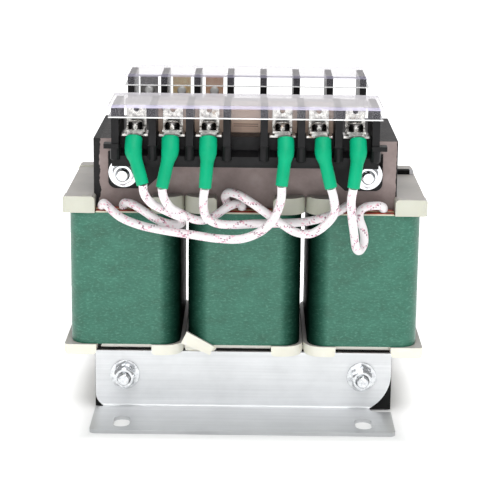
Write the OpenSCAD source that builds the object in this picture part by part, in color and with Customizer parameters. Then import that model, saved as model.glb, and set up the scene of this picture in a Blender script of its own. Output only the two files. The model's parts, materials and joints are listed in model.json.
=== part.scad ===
// Open-frame three-phase dry transformer on two foot brackets, with two covered terminal blocks.
// The origin is on the floor at the centre of the footprint, Z is up and the lead side faces -Y.
// A reach is a distance from the centre plane outwards: y = -reach at the front, y = reach at the rear.

/* [Core] */
// Width of each limb
limb_w = 40; // [34:1:46]
// Width of each window between two limbs
window_w = 40; // [36:1:48]
// Height of the windows
window_h = 95; // [80:1:120]
// Height of the lower yoke and of the upper yoke
yoke_h = 45; // [40:1:52]
// Depth of the lamination stack
stack_d = 92; // [76:1:120]
// Underside of the core above the floor
core_lift = 1; // [0.5:0.5:4]

/* [Bobbins] */
// Wall of the bobbin tube
tube_t = 2; // [1.5:0.1:3]
// Clearance between a limb and its bobbin tube, on each side
tube_gap = 0.4; // [0.2:0.1:1]
// Thickness of the bobbin flanges
flange_t = 2.5; // [2:0.1:4]
// How far the flanges stand out past the core's faces
flange_over = 13; // [12:0.5:18]
// Height of the upper corner lobes past the yoke's edge
lobe_up = 8.5; // [5:0.5:14]
// Height of the lower corner lobes past the yoke's edge
lobe_down = 4.5; // [2:0.5:8]
// Width of the lead notch in each flange
notch_w = 37; // [30:1:44]
// Joint between neighbouring bobbins, and between a lobe and the core
bobbin_joint = 0.5; // [0.3:0.1:1.5]
// Rounding of the lobes' corners
lobe_round = 2.5; // [1:0.5:3.4]
// Rounding of the flanges' corners next to another bobbin, seen from above
joint_round = 13; // [5:0.5:14]
// Rounding of the flanges' free corners, seen from above
free_round = 3; // [1:0.5:6]
// Width of the slit in each outermost upper lobe
slit_w = 1; // [0.6:0.1:1.5]
// Length of the slit
slit_len = 6.5; // [4:0.5:9]
// Distance of the slit behind the flange's front edge
slit_in = 3; // [2:0.5:6]
// Height of the bent lower lobe's free end
bent_end = 9; // [6:0.5:11]
// Height of the bent lower lobe's root
bent_root = 6.5; // [4.5:0.5:8]
// Slope of the bent lobe, in degrees
bent_slope = 25.5; // [15:0.5:32]
// Thickness of the bent lobe
bent_t = 2.4; // [1.6:0.1:3.5]
// Clearance between the bent lobe and the coil behind it
bent_gap = 0.2; // [0.1:0.1:0.6]
// How far the bent lobe reaches past the inner side of its root
bent_lap = 4.5; // [2:0.5:5]
// Step from the lobes down to the rail between them at the core's ends
rail_step = 1; // [0.5:0.1:2]

/* [Windings] */
// Gap between neighbouring coils
coil_gap = 5; // [3:0.5:8]
// How much less the outermost coil sides stand out than the sides in a window
outer_trim = 1.5; // [0:0.5:3]
// How far the coils stand out past the core's faces
coil_over = 11.5; // [10:0.5:16]
// Thickness of the inner winding at the sides
inner_wind_side = 6.5; // [4:0.5:8]
// Thickness of the inner winding at the front and rear
inner_wind_face = 3.8; // [2.5:0.1:4.5]
// How far the inner winding stands up in a flange's notch
inner_crown = 2.5; // [0:0.1:2.5]
// How far the outer winding stands up in a flange's notch
outer_crown = 1.6; // [0:0.1:2.5]
// How far the tape stands up in a flange's notch
tape_crown = 1; // [0:0.1:2.5]
// Thickness of the insulation between the windings
paper_t = 0.8; // [0.4:0.1:1.2]
// Thickness of the tape wrapped round a coil
tape_t = 1.2; // [0.8:0.1:2]
// Rounding of the coils' corners
coil_round = 12; // [8:1:16]

/* [Foot brackets] */
// Thickness of the foot sheet
foot_t = 2.5; // [2:0.5:4]
// Height of the foot's web above the floor
web_top = 41.5; // [34:0.5:46]
// Reach of the feet from the centre plane
foot_reach = 98; // [90:1:130]
// Bend radius on the outside of the foot
foot_bend = 4; // [4:0.5:6]
// Width of the fixing slots
slot_w = 11; // [7:0.5:13]
// Length of the fixing slots
slot_len = 20; // [14:1:24]
// Distance from the foot's edge to the slots' centre
slot_edge = 17; // [14:1:22]
// Rounding of the foot's outer corners
foot_round = 4; // [1:0.5:8]
// Length of the large relief at one end of the bend
relief_large = 14; // [8:1:15]
// Length of the small relief at the other end of the bend
relief_small = 5; // [3:1:8]
// Thickness of the insulating sheets between the feet and the core
liner_t = 0.8; // [0.5:0.1:2]
// How far the insulating sheets stand up past the feet
liner_over = 1.5; // [0.5:0.5:3]
// How far the insulating sheets stand out past the feet's ends
liner_side = 0.4; // [0:0.1:0.4]

/* [Clamp bolts] */
// Diameter of the clamp bolts
bolt_d = 8; // [6:1:10]
// Clearance round the bolts, on each side
bolt_gap = 0.5; // [0.3:0.1:1]
// Height of the lower bolts above the floor
low_bolt_z = 25; // [20:1:28]
// Height of the upper bolts above the upper yoke's lower edge
up_bolt_rise = 23; // [20:1:24]
// Diameter of the flat washers
washer_d = 20; // [17:1:24]
// Thickness of the flat washers
washer_t = 1.6; // [1:0.1:2.5]
// Thickness of the spring washers
spring_t = 2; // [1.2:0.1:3]
// Width across flats of the nuts and bolt heads
nut_flats = 13; // [12:1:17]
// Height of the nuts
nut_h = 6.5; // [5:0.5:8]
// Height of the bolt heads
head_h = 5.3; // [4:0.1:7]
// How far the bolts stand out of their nuts
bolt_out = 4; // [1:0.5:8]

/* [Terminal brackets] */
// Thickness of the bracket sheet
shelf_t = 2; // [1.5:0.5:3]
// How far a bracket's web stands out past the washers
web_side = 0.2; // [0:0.1:4]
// Upper side of the shelf above the upper yoke's lower edge
shelf_rise = 37; // [36:0.5:38.5]
// Reach of the shelf from the core's face
shelf_reach = 44; // [40:1:50]
// Lower end of the bracket's legs above the upper yoke's lower edge
leg_rise = 12; // [10.5:0.5:14]
// Width of a leg at its lower end
leg_w = 24.5; // [22:0.1:30]
// Rounding of a leg's outer corner
leg_round = 5; // [2:0.5:8]
// How far a leg's inner edge slants inwards
leg_slant = 17; // [6:1:20]
// Lower edge of the web between the legs above the upper yoke's lower edge
band_rise = 28; // [26:0.5:32]
// Bend radius on the outside of the shelf
shelf_bend = 3; // [3:0.5:5]

/* [Terminal blocks] */
// Distance between two barriers
barrier_pitch = 23.4; // [22.5:0.1:23.6]
// Thickness of a barrier
barrier_t = 4.6; // [3.5:0.1:5.5]
// Height of the barriers' top above the shelf
barrier_top = 36; // [34:0.5:42]
// Lower end of the barriers' outer edge above the shelf
barrier_low = 3; // [1:0.5:5]
// Distance from the core's face to the block's base
base_in = 3; // [2.5:0.5:4]
// Depth of the base
base_d = 42; // [38:0.5:44]
// Thickness of the base at its front
base_t = 5; // [4:0.5:9]
// Thickness of the base at the seat
base_back_t = 7.5; // [5:0.5:9]
// How far the barriers stand out past the base
barrier_out = 2; // [1:0.5:4]
// How far the barriers' upper part reaches back over the core
barrier_back = 0.5; // [0:0.5:3]
// Height of the terminal seat above the shelf
seat_h = 16; // [13:0.5:18]
// Distance from the core's face to the seat's back
seat_in = 16; // [14:0.5:18]
// Depth of the seat
seat_d = 18; // [16:0.5:22]
// Length of the tab at each end of a block
ear_len = 4.8; // [3:0.1:8]
// Thickness of the end tabs
ear_t = 3; // [2:0.5:5]
// Depth of the end tabs
ear_d = 8; // [5:1:16]
// Lower side of the end tabs above the shelf
ear_rise = 10; // [8:0.5:14]
// How far the end tabs stand out past the barriers' outer edge
ear_out = 1.2; // [0.5:0.1:2]
// Diameter of the boss at a barrier's lower end
boss_d = 6.4; // [5:0.1:7]
// Height of the bosses
boss_h = 9.5; // [6:0.5:12]
// Lower end of the bosses above the shelf
boss_low = 2.2; // [0.5:0.1:5]
// How far the bosses stand out past the barriers' outer edge
boss_out = 0.8; // [0:0.1:1]
// Diameter of the dimple near a barrier's top
dimple_d = 1.8; // [1:0.1:3]
// Distance from a barrier's top to its dimple
dimple_drop = 3.4; // [2:0.1:6]

/* [Covers] */
// Wall of the clear covers
cover_t = 1.6; // [1.2:0.1:2]
// Top of the clear covers
cover_top_t = 2; // [1.5:0.1:3]
// Height of the covers over all
cover_h = 8.5; // [6:0.5:11]
// Clearance between a cover and the barriers
cover_gap = 0.2; // [0.1:0.1:0.6]

/* [Terminals] */
// Thickness of the terminal strips
strip_t = 1.4; // [1:0.1:2]
// Width of a terminal strip's flat part
strip_w = 16.4; // [13:0.1:17]
// Width of a strip's upright part
riser_w = 12.8; // [11:0.1:17]
// Height of a strip's upright part above the seat
riser_h = 18; // [15:0.5:19]
// Length of a strip's flat part
strip_foot = 18; // [16:0.5:20]
// Diameter of the small hole near a strip's top
riser_hole = 3.4; // [2:0.1:4]
// Diameter of the clamp screws
screw_d = 5; // [4:0.5:5]
// Diameter of the clamp screws' heads
screw_head_d = 9.4; // [8:0.1:11]
// Height of the clamp screws' heads
screw_head_h = 4.6; // [3:0.1:6]
// Side of the square washers
square_w = 12.5; // [11:0.5:14]
// Thickness of the square washers
square_t = 1.5; // [1:0.1:2]
// Thickness of the backing strip behind the front terminals
backing_t = 1.5; // [1:0.1:2]
// Clearance round the backing strip in its slots
backing_gap = 0.1; // [0.1:0.1:0.3]
// Diameter of the fixing screws
fixing_d = 4; // [3:0.5:4]
// Diameter of the fixing and upright screws' heads
fixing_head_d = 6.4; // [5.6:0.1:6.8]
// Height of the fixing and upright screws' heads
fixing_head_h = 2.6; // [2:0.1:3]
// Clearance round the screws in their holes, on each side
screw_gap = 0.2; // [0.1:0.1:0.3]

/* [Leads] */
// Thickness of the lugs
lug_t = 1; // [0.8:0.1:1.5]
// Width of the lugs' tongues
lug_w = 10; // [9:0.5:12]
// Width of the lugs' necks, between tongue and barrel
neck_w = 5; // [3:0.5:5.4]
// Diameter of the lugs' barrels
barrel_d = 6; // [5.6:0.2:6.4]
// Diameter of the sleeved leads
lead_d = 5.6; // [4.6:0.2:6]
// How far the lugs reach past the terminal strips before they bend down
lug_over = 2; // [1.5:0.5:4]

/* [Wedge] */
// Length of the wedge that rests on the right-hand flange
wedge_len = 17.5; // [8:0.5:18]
// Depth of the wedge
wedge_d = 6; // [4:1:14]
// Height of the wedge
wedge_h = 3; // [2:0.5:6]
// Distance of the wedge behind the centre plane
wedge_y = 34; // [10:1:42]

/* [Hidden] */

// Number of sides on round parts
$fn = 48;
// Overlap that makes a cut run clean through
over = 1;

pitch = limb_w + window_w;
core_w = 3 * limb_w + 2 * window_w;
face = stack_d / 2;
window_z = core_lift + yoke_h;
yoke_z = window_z + window_h;
core_top = yoke_z + yoke_h;
up_bolt_z = yoke_z + up_bolt_rise;

// Bobbin and coil sizes, each half a width or depth
tube_x = limb_w / 2 + tube_gap + tube_t;
tube_y = face + tube_gap + tube_t;
flange_x = (pitch - bobbin_joint) / 2;
flange_y = face + flange_over;
coil_x = (pitch - coil_gap) / 2;
coil_y = face + coil_over;
coil_low = window_z + flange_t;
coil_high = yoke_z - flange_t;
wind_round = coil_round / 3;

// Clearance between a lower lobe and the insulating sheet, and beside a crown in its notch
bobbin_gap = 0.1;
crown_gap = 0.3;

// Reach of the foot's web, and of what the bolts clamp
web_in = face + liner_t;
web_out = web_in + foot_t;
plate_out = face + shelf_t;

// Angle at which the arc of a relief meets the bend, and how far the cut beside the foot reaches up into it
relief_angle = 30;
relief_up = 0.4;

// Terminal bracket and block
web_half = pitch + washer_d / 2 + web_side;
shelf_z = yoke_z + shelf_rise;
positions = 7;
block_half = positions / 2 * barrier_pitch + barrier_t / 2;
barrier_z = shelf_z + barrier_top;
base_out = base_in + base_d;
seat_z = shelf_z + seat_h;
seat_out = seat_in + seat_d;
backing_in = seat_in + backing_gap;
riser_in = backing_in + backing_t + backing_gap;
screw_reach = riser_in + strip_foot / 2 + strip_t;
strip_z = seat_z + strip_t;
riser_screw_z = seat_z + riser_h / 2 - strip_t;
fixing_x = (positions - 1) / 2 * barrier_pitch;
fixing_reach = (base_in + seat_in) / 2;
fixing_depth = 5;

// Height of the barriers' upper part above the core
core_clear = 2;

// Bend radius on the outside of a terminal strip
strip_bend = 2.1;

// Nuts of the clamp screws, square in a square pocket, and nuts of the small screws
pocket_w = 9.5;
terminal_nut_h = 3;
fixing_nut_h = 3;

// The connected positions of the front block, the fitted ones of the rear block, seen from the front
front_positions = [1, 2, 3, 5, 6, 7];
rear_positions = [1, 2, 3];

// The backing strip runs behind the first to the second of these positions
backing_positions = [2, 6];

// The first stretch of a lug's barrel, outwards and down, and the radius of a sleeve along its route
barrel_way = [0, -5, -7];
sleeve_radii = [5.4, 5.4, 4.1, 4.1, 3.9];

// How far a sleeve's curve lies outside its straight line
sleeve_sag = 0.8;

// How far each lug's barrel lies to the right of its screw
barrel_shift = [0, -0.4, 0, 2, 2, 0.6];

// Direction in which the seam of a sleeve or lead starts
seam_way = [0.3, -0.9, 0.3];

// Routes of the leads: x, y and z, from the sleeve to the top of the winding that they come out of
lead_routes = [
    [[-64, -101, 167], [-63, -99, 160], [-59, -93, 153], [-53, -86, 148], [-46, -79, 143],
        [-41, -73, 139], [-42, -68, 134], [-50, -67, 134], [-58, -67, 137], [-66, -66, 142],
        [-73, -63, 145.5], [-78, -58, 145.5], [-80, -54.3, 143.6], [-80, -53.3, 141.3]],
    [[-52, -101, 165], [-51, -98, 158], [-47, -92, 150], [-41, -85, 145], [-36, -79, 141],
        [-30, -74, 138], [-24, -71, 138], [-18, -69, 141], [-13, -66, 144], [-8, -63, 146],
        [-4, -58, 146], [-2, -54.3, 143.9], [-2, -53.3, 141.3]],
    [[-25, -101, 165], [-26, -98, 158], [-26, -91, 149], [-24, -85, 142], [-17, -79, 137],
        [-6, -73, 135], [8, -69, 135], [23, -67, 135], [38, -67, 136], [51, -67, 139],
        [61, -65, 143], [67, -59, 145.5], [70, -54.3, 143.6], [70.9, -53.3, 141.45]],
    [[23, -101, 167], [23, -98, 159], [21, -92, 149], [17, -86, 140], [9, -82, 132],
        [-3, -79, 127], [-18, -78, 127], [-34, -77, 129], [-51, -75, 131], [-67, -70, 133],
        [-80, -66, 137], [-88, -61, 142], [-92, -57, 144.7], [-94, -54.3, 143.2], [-94, -53.3, 141.3]],
    [[54, -101, 166], [56, -98, 158], [57, -91, 148], [52, -86, 139], [43, -82, 132],
        [33, -79, 132], [24, -78, 137], [15, -77, 143], [6, -75, 149], [-3, -72, 154],
        [-10, -67, 155], [-13, -60, 151], [-12, -55.2, 145.8], [-11, -53.3, 141.3]],
    [[68, -101, 166], [67, -98, 157], [68, -92, 146], [70, -85, 134], [72, -77, 122],
        [75, -70, 118], [78, -65, 122], [77.5, -63, 130], [75, -63, 137], [75, -62, 142],
        [78.5, -60.5, 144.9], [83.5, -58.5, 145.4], [88, -56.3, 145], [90.7, -54.3, 143.6],
        [91, -53.3, 141.3]]];

// A flat profile with round corners, between two opposite corners
module round_plate(x0, y0, x1, y1, r) {
    translate([x0 + r, y0]) square([x1 - x0 - 2 * r, y1 - y0]);
    translate([x0, y0 + r]) square([x1 - x0, y1 - y0 - 2 * r]);
    for (x = [x0 + r, x1 - r], y = [y0 + r, y1 - r]) translate([x, y]) circle(r);
}

// What a rounding of radius r takes off a corner that points to side in x and to end in y
module corner_cut(side, end, r) {
    difference() {
        translate([side > 0 ? 0 : -r - over, end > 0 ? 0 : -r - over]) square(r + over);
        circle(r);
    }
}

// A box between two opposite corners
module block(low, high) {
    translate(low) cube(high - low);
}

// Sheet bent to a right angle: the outside of the bend is at the origin, one leg along x and one along y
module bent_profile(leg_x, leg_y, t, r) {
    translate([r, 0]) square([leg_x - r, t]);
    translate([0, r]) square([t, leg_y - r]);
    intersection() {
        difference() {
            translate([r, r]) circle(r);
            translate([r, r]) circle(r - t);
        }
        square(r);
    }
}

// Turns a front piece to the rear
module at_rear() {
    rotate([0, 0, 180]) children();
}

// A cylinder along y from one reach to another at the front, where y = -reach
module front_rod(x, z, d, from, to) {
    translate([x, -from, z]) rotate([90, 0, 0]) cylinder(h = to - from, d = d);
}

// A profile drawn in x and z, given its thickness along y from reach to reach at the front
module front_plate(from, to) {
    translate([0, -from, 0]) rotate([90, 0, 0]) linear_extrude(to - from) children();
}

module core_e_stack() {
    color([0.42, 0.40, 0.41]) difference() {
        union() {
            block([-core_w / 2, -face, core_lift], [core_w / 2, face, window_z]);
            for (i = [-1, 0, 1])
                block([i * pitch - limb_w / 2, -face, window_z],
                    [i * pitch + limb_w / 2, face, yoke_z]);
        }
        for (i = [-1, 1])
            front_rod(i * pitch, low_bolt_z, bolt_d + 2 * bolt_gap, -face - over, face + over);
    }
}

module core_i_stack() {
    color([0.45, 0.42, 0.43]) difference() {
        block([-core_w / 2, -face, yoke_z], [core_w / 2, face, core_top]);
        for (i = [-1, 1])
            front_rod(i * pitch, up_bolt_z, bolt_d + 2 * bolt_gap, -face - over, face + over);
    }
}

// One corner lobe of a flange, from x0 to x1 and from a distance in front of the core's centre plane
module lobe(x0, x1, z0, z1, from) {
    front_plate(from, flange_y) round_plate(x0, z0, x1, z1, lobe_round);
}

// The four lobes of a flange, and the lower rail past the core's end on an outermost bobbin
module flange_edge(i, z0, z1, from) {
    for (turn = [0, 180], side = [-1, 1])
        rotate([0, 0, turn]) lobe(min(side * notch_w / 2, side * flange_x),
            max(side * notch_w / 2, side * flange_x), z0, z1, from);
    if (i != 0) {
        x0 = limb_w / 2 + bobbin_joint;
        x1 = flange_x - rail_step;
        y = face + bobbin_joint + over;
        block([min(i * x0, i * x1), -y, z0 + rail_step], [max(i * x0, i * x1), y, z1 - rail_step]);
    }
}

// Outline of a bobbin's flanges seen from above: its corners at a joint are rounder than its free ones
module flange_outline(i) {
    difference() {
        square([2 * flange_x, 2 * flange_y], center = true);
        for (side = [-1, 1], end = [-1, 1]) {
            r = i == side ? free_round : joint_round;
            translate([side * (flange_x - r), end * (flange_y - r)]) corner_cut(side, end, r);
        }
    }
}

// Slit in the top of an outermost lobe, beside the core
module lobe_slit(i) {
    x0 = i * (core_w / 2 - pitch + bobbin_joint);
    x1 = x0 + i * slit_len;
    block([min(x0, x1), -flange_y + slit_in, yoke_z + flange_t],
        [max(x0, x1), -flange_y + slit_in + slit_w, yoke_z + lobe_up + over]);
}

// The middle bobbin's lower left lobe at the front, bent up before its coil, and its root in the flange
module bent_lobe() {
    root_x = -notch_w / 2 - bent_root;
    run = flange_x + root_x;
    length = run / cos(bent_slope) + bent_lap;
    front_plate(coil_y + bent_gap, coil_y + bent_gap + bent_t)
        translate([-flange_x, coil_low - flange_t / 2 + run * tan(bent_slope)]) rotate(-bent_slope)
            polygon([[0, -bent_end / 2], [length, -bent_root / 2],
                [length, bent_root / 2], [0, bent_end / 2]]);
}

module bobbin(i) {
    color([0.88, 0.88, 0.80]) translate([i * pitch, 0, 0]) {
        difference() {
            intersection() {
                union() {
                    block([-tube_x, -tube_y, window_z], [tube_x, tube_y, yoke_z]);
                    block([-flange_x, -flange_y, window_z], [flange_x, flange_y, coil_low]);
                    block([-flange_x, -flange_y, coil_high], [flange_x, flange_y, yoke_z]);
                    flange_edge(i, coil_high, yoke_z + lobe_up, face + bobbin_joint);
                    flange_edge(i, window_z - lobe_down, coil_low, web_in + bobbin_gap);
                }
                linear_extrude(core_top) flange_outline(i);
            }
            block([-tube_x + tube_t, -tube_y + tube_t, window_z - over],
                [tube_x - tube_t, tube_y - tube_t, yoke_z + over]);
            for (turn = [0, 180], z = [coil_high, window_z - over]) rotate([0, 0, turn])
                block([-notch_w / 2, face, z], [notch_w / 2, flange_y + over, z + flange_t + over]);
            if (i == 0) {
                block([-flange_x - over, -flange_y - over, window_z - lobe_down - over],
                    [-notch_w / 2 - bent_root, -tube_y, coil_low + over]);
                block([-flange_x, -flange_y - over, window_z - lobe_down - over],
                    [-notch_w / 2 + over, -tube_y, window_z]);
                block([-notch_w / 2 - bent_root + bent_lap, -flange_y - over, window_z - over],
                    [-notch_w / 2 + over, -tube_y, coil_low + over]);
            } else lobe_slit(i);
        }
        if (i == 0) bent_lobe();
    }
}

// A coil layer as high as the bobbin's winding space: its outline, less the space of its children
module coil_ring(low_x, high_x, outer_y, outer_r) {
    translate([0, 0, coil_low]) linear_extrude(coil_high - coil_low) difference() {
        round_plate(low_x, -outer_y, high_x, outer_y, outer_r);
        children();
    }
}

// What stands up from a layer in the upper flange's notches, between two distances from the centre plane
module crown(from, to, h) {
    half = notch_w / 2 - crown_gap;
    for (turn = [0, 180]) rotate([0, 0, turn])
        block([-half, from, coil_high - flange_t], [half, to, coil_high + h]);
}

// How far a coil reaches to one side of its limb, inside the tape
function wound_x(i, side) = coil_x - tape_t - (i == side && i != 0 ? outer_trim : 0);

module inner_winding(i) {
    x = tube_x + inner_wind_side;
    y = tube_y + inner_wind_face;
    color([0.62, 0.27, 0.16]) translate([i * pitch, 0, 0]) {
        coil_ring(-x, x, y, wind_round) translate([-tube_x, -tube_y]) square([2 * tube_x, 2 * tube_y]);
        crown(tube_y, y, inner_crown);
    }
}

module winding_paper(i) {
    x = tube_x + inner_wind_side;
    y = tube_y + inner_wind_face;
    color([0.80, 0.70, 0.52]) translate([i * pitch, 0, 0]) {
        coil_ring(-x - paper_t, x + paper_t, y + paper_t, wind_round + paper_t)
            round_plate(-x, -y, x, y, wind_round);
        crown(y, y + paper_t, (inner_crown + outer_crown) / 2);
    }
}

module outer_winding(i) {
    x = tube_x + inner_wind_side + paper_t;
    y = tube_y + inner_wind_face + paper_t;
    color([0.50, 0.16, 0.10]) translate([i * pitch, 0, 0]) {
        coil_ring(-wound_x(i, -1), wound_x(i, 1), coil_y - tape_t, coil_round - tape_t)
            round_plate(-x, -y, x, y, wind_round + paper_t);
        crown(y, coil_y - tape_t, outer_crown);
    }
}

module tape_wrap(i) {
    x0 = -wound_x(i, -1);
    x1 = wound_x(i, 1);
    y = coil_y - tape_t;
    color([0.29, 0.52, 0.44]) translate([i * pitch, 0, 0]) {
        coil_ring(x0 - tape_t, x1 + tape_t, coil_y, coil_round)
            round_plate(x0, -y, x1, y, coil_round - tape_t);
        crown(y, coil_y, tape_crown);
    }
}

// Foot bracket: a sheet with a web against the core and a foot that runs outwards on the floor
module foot_bracket() {
    bend_reach = foot_reach - web_in;
    color([0.72, 0.72, 0.74]) difference() {
        translate([-core_w / 2, -web_in, 0]) rotate([90, 0, 90])
            linear_extrude(core_w) mirror([1, 0]) bent_profile(bend_reach, web_top, foot_t, foot_bend);
        for (i = [-1, 1]) {
            front_rod(i * pitch, low_bolt_z, bolt_d + 2 * bolt_gap, web_in - over, web_out + over);
            translate([i * pitch, slot_edge - foot_reach, -over]) linear_extrude(foot_t + 2 * over)
                for (y = [-1, 1]) translate([0, y * (slot_len - slot_w) / 2]) {
                    circle(d = slot_w);
                    translate([0, -y * (slot_len - slot_w) / 4])
                        square([slot_w, (slot_len - slot_w) / 2], center = true);
                }
        }
        bend_relief(-1, relief_small);
        bend_relief(1, relief_large);
        for (side = [-1, 1])
            translate([side * (core_w / 2 - foot_round), foot_round - foot_reach, -over])
                linear_extrude(foot_t + 2 * over) corner_cut(side, -1, foot_round);
    }
}

// Cut that frees one end of the foot's bend over a length: the web's corner becomes an arc that meets the
// bend at an angle, and the foot is cleared beside it
module bend_relief(side, length) {
    r = length / (1 - sin(relief_angle));
    arc_z = foot_t + r * cos(relief_angle);
    mirror([side < 0 ? 1 : 0, 0, 0]) {
        front_plate(web_in - over, web_out + foot_bend) difference() {
            translate([core_w / 2 - length, foot_t]) square([length + over, arc_z - foot_t]);
            translate([core_w / 2 - r, arc_z]) circle(r);
        }
        translate([core_w / 2 - length, -web_out, -over]) linear_extrude(foot_t + relief_up + over)
            round_plate(0, -length / 2, 2 * length, length, length / 3);
    }
}

module insulating_sheet() {
    color([0.10, 0.10, 0.11]) difference() {
        front_plate(face, web_in)
            translate([-core_w / 2 - liner_side, core_lift])
                square([core_w + 2 * liner_side, web_top + liner_over - core_lift]);
        for (i = [-1, 1])
            front_rod(i * pitch, low_bolt_z, bolt_d + 2 * bolt_gap, face - over, web_in + over);
    }
}

// Terminal bracket: a web with two legs against the upper yoke, bent outwards into a shelf
module terminal_bracket() {
    leg_z = yoke_z + leg_rise;
    band_z = yoke_z + band_rise;
    color([0.13, 0.13, 0.14]) difference() {
        intersection() {
            translate([-web_half, -face, shelf_z]) rotate([90, 0, 90]) linear_extrude(2 * web_half)
                mirror([1, 0]) mirror([0, 1])
                    bent_profile(shelf_reach, shelf_z - leg_z, shelf_t, shelf_bend);
            union() {
                block([-block_half, -face - shelf_reach - over, band_z],
                    [block_half, -face + over, shelf_z + over]);
                block([-web_half, -plate_out, band_z], [web_half, -face + over, shelf_z + over]);
                for (side = [0, 1]) mirror([side, 0, 0])
                    front_plate(face - over, plate_out + over) terminal_leg(leg_z, band_z);
            }
        }
        for (i = [-1, 1]) {
            front_rod(i * pitch, up_bolt_z, bolt_d + 2 * bolt_gap, face - over, plate_out + over);
            translate([i * fixing_x, -face - fixing_reach, shelf_z - shelf_t - over])
                cylinder(h = shelf_t + 2 * over, d = fixing_d + 2 * screw_gap);
        }
    }
}

// One leg of the bracket's web, with a round outer corner and a slanting inner edge
module terminal_leg(z0, z1) {
    inner = web_half - leg_w;
    round_plate(inner, z0, web_half, z1 + 2 * leg_round, leg_round);
    polygon([[inner, z0], [inner + leg_w / 2, z0], [inner + leg_w / 2, z1 + over],
        [inner - leg_slant, z1 + over], [inner - leg_slant, z1]]);
}

// One clamp bolt along y, its head at the rear, for plates that reach out to clamped
module clamp_bolt(x, z, clamped) {
    tip = clamped + washer_t + spring_t + nut_h + bolt_out;
    front_rod(x, z, bolt_d, -clamped - washer_t, tip);
    translate([0, clamped + washer_t, 0]) rotate([90, 0, 0])
        translate([x, z, -head_h]) rotate(30) cylinder(h = head_h, d = nut_flats / cos(30), $fn = 6);
}

module clamp_bolts_upper() {
    color([0.78, 0.79, 0.80]) for (i = [-1, 1]) clamp_bolt(i * pitch, up_bolt_z, plate_out);
}

module clamp_bolts_lower() {
    color([0.78, 0.79, 0.80]) for (i = [-1, 1]) clamp_bolt(i * pitch, low_bolt_z, web_out);
}

// Runs its children for each clamp bolt, with the bolt's place and the reach of what it clamps
module each_bolt() {
    for (i = [-1, 1], row = [[up_bolt_z, plate_out], [low_bolt_z, web_out]]) {
        $bolt_x = i * pitch;
        $bolt_z = row[0];
        $clamped = row[1];
        children();
    }
}

// A hexagonal nut along y with a point up
module hex_nut(x, z, from, h, flats, bore) {
    difference() {
        translate([x, -from, z]) rotate([90, 0, 0]) rotate(30)
            cylinder(h = h, d = flats / cos(30), $fn = 6);
        front_rod(x, z, bore, from - over, from + h + over);
    }
}

module clamp_nuts() {
    color([0.80, 0.81, 0.82]) each_bolt()
        hex_nut($bolt_x, $bolt_z, $clamped + washer_t + spring_t, nut_h, nut_flats, bolt_d + screw_gap);
}

module flat_washers() {
    color([0.82, 0.83, 0.84]) each_bolt() for (from = [$clamped, -$clamped - washer_t]) difference() {
        front_rod($bolt_x, $bolt_z, washer_d, from, from + washer_t);
        front_rod($bolt_x, $bolt_z, bolt_d + screw_gap, from - over, from + washer_t + over);
    }
}

module spring_washers() {
    color([0.70, 0.71, 0.72]) each_bolt() {
        from = $clamped + washer_t;
        difference() {
            front_rod($bolt_x, $bolt_z, nut_flats + spring_t / 2, from, from + spring_t);
            front_rod($bolt_x, $bolt_z, bolt_d + screw_gap, from - over, from + spring_t + over);
            translate([$bolt_x, -from - spring_t - over, $bolt_z - spring_t / 4])
                cube([nut_flats, spring_t + 2 * over, spring_t / 2]);
        }
    }
}

// Terminal block: base, seat under the terminals, barriers between them, a tab at each end, and pockets
// for the nuts at the fitted places
module terminal_block(fitted) {
    color([0.15, 0.15, 0.16]) difference() {
        union() {
            block_base();
            block([-block_half, -face - seat_out, shelf_z], [block_half, -face - seat_in, seat_z]);
            for (k = [0 : positions]) barrier(barrier_x(k));
            for (side = [0, 1]) mirror([side, 0, 0]) end_tab();
        }
        for (k = fitted) terminal_pocket(place_x(k));
        for (side = [-1, 1]) translate([side * fixing_x, -face - fixing_reach, shelf_z - over])
            cylinder(h = fixing_depth + screw_gap + over, d = fixing_d + 2 * screw_gap);
        block([barrier_x(backing_positions[0] - 1) - backing_gap, -face - riser_in, seat_z],
            [barrier_x(backing_positions[1]) + backing_gap, -face - seat_in, barrier_z + over]);
    }
}

// Base of the block, with a top that slopes outwards from the seat
module block_base() {
    translate([-block_half, 0, shelf_z]) rotate([90, 0, 90]) linear_extrude(2 * block_half)
        polygon([[-face - base_out, 0], [-face - base_in, 0], [-face - base_in, base_back_t],
            [-face - seat_out, base_back_t], [-face - base_out, base_t]]);
}

// Tab that stands out past an end barrier
module end_tab() {
    near = -face - base_out - barrier_out - ear_out;
    z = shelf_z + ear_rise;
    block([block_half - barrier_t, near, z], [block_half + ear_len, near + ear_d, z + ear_t]);
}

// Middle of barrier k, counted from 0, and of position k, counted from 1
function barrier_x(k) = (k - positions / 2) * barrier_pitch;
function place_x(k) = (k - (positions + 1) / 2) * barrier_pitch;

// One barrier: its upper part reaches back over the core, and its outer edge stands out past the base,
// with a dimple near its top and a boss at its lower end
module barrier(x) {
    near = -face - base_out - barrier_out;
    difference() {
        translate([x - barrier_t / 2, 0, 0]) {
            block([0, -face - base_out, shelf_z], [barrier_t, -face - base_in, barrier_z - over]);
            block([0, -face - base_out, core_top + core_clear],
                [barrier_t, -face + barrier_back, barrier_z]);
            translate([0, near, 0]) rotate([90, 0, 90]) linear_extrude(barrier_t)
                round_plate(0, shelf_z + barrier_low, base_d / 2, barrier_z, barrier_out);
        }
        front_rod(x, barrier_z - dimple_drop, dimple_d, -near - dimple_d, -near + over);
    }
    translate([x, near + boss_d / 2 - boss_out, shelf_z + boss_low]) {
        cylinder(h = boss_out, d1 = boss_d - 2 * boss_out, d2 = boss_d);
        translate([0, 0, boss_out]) cylinder(h = boss_h - boss_out, d = boss_d);
    }
}

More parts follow.
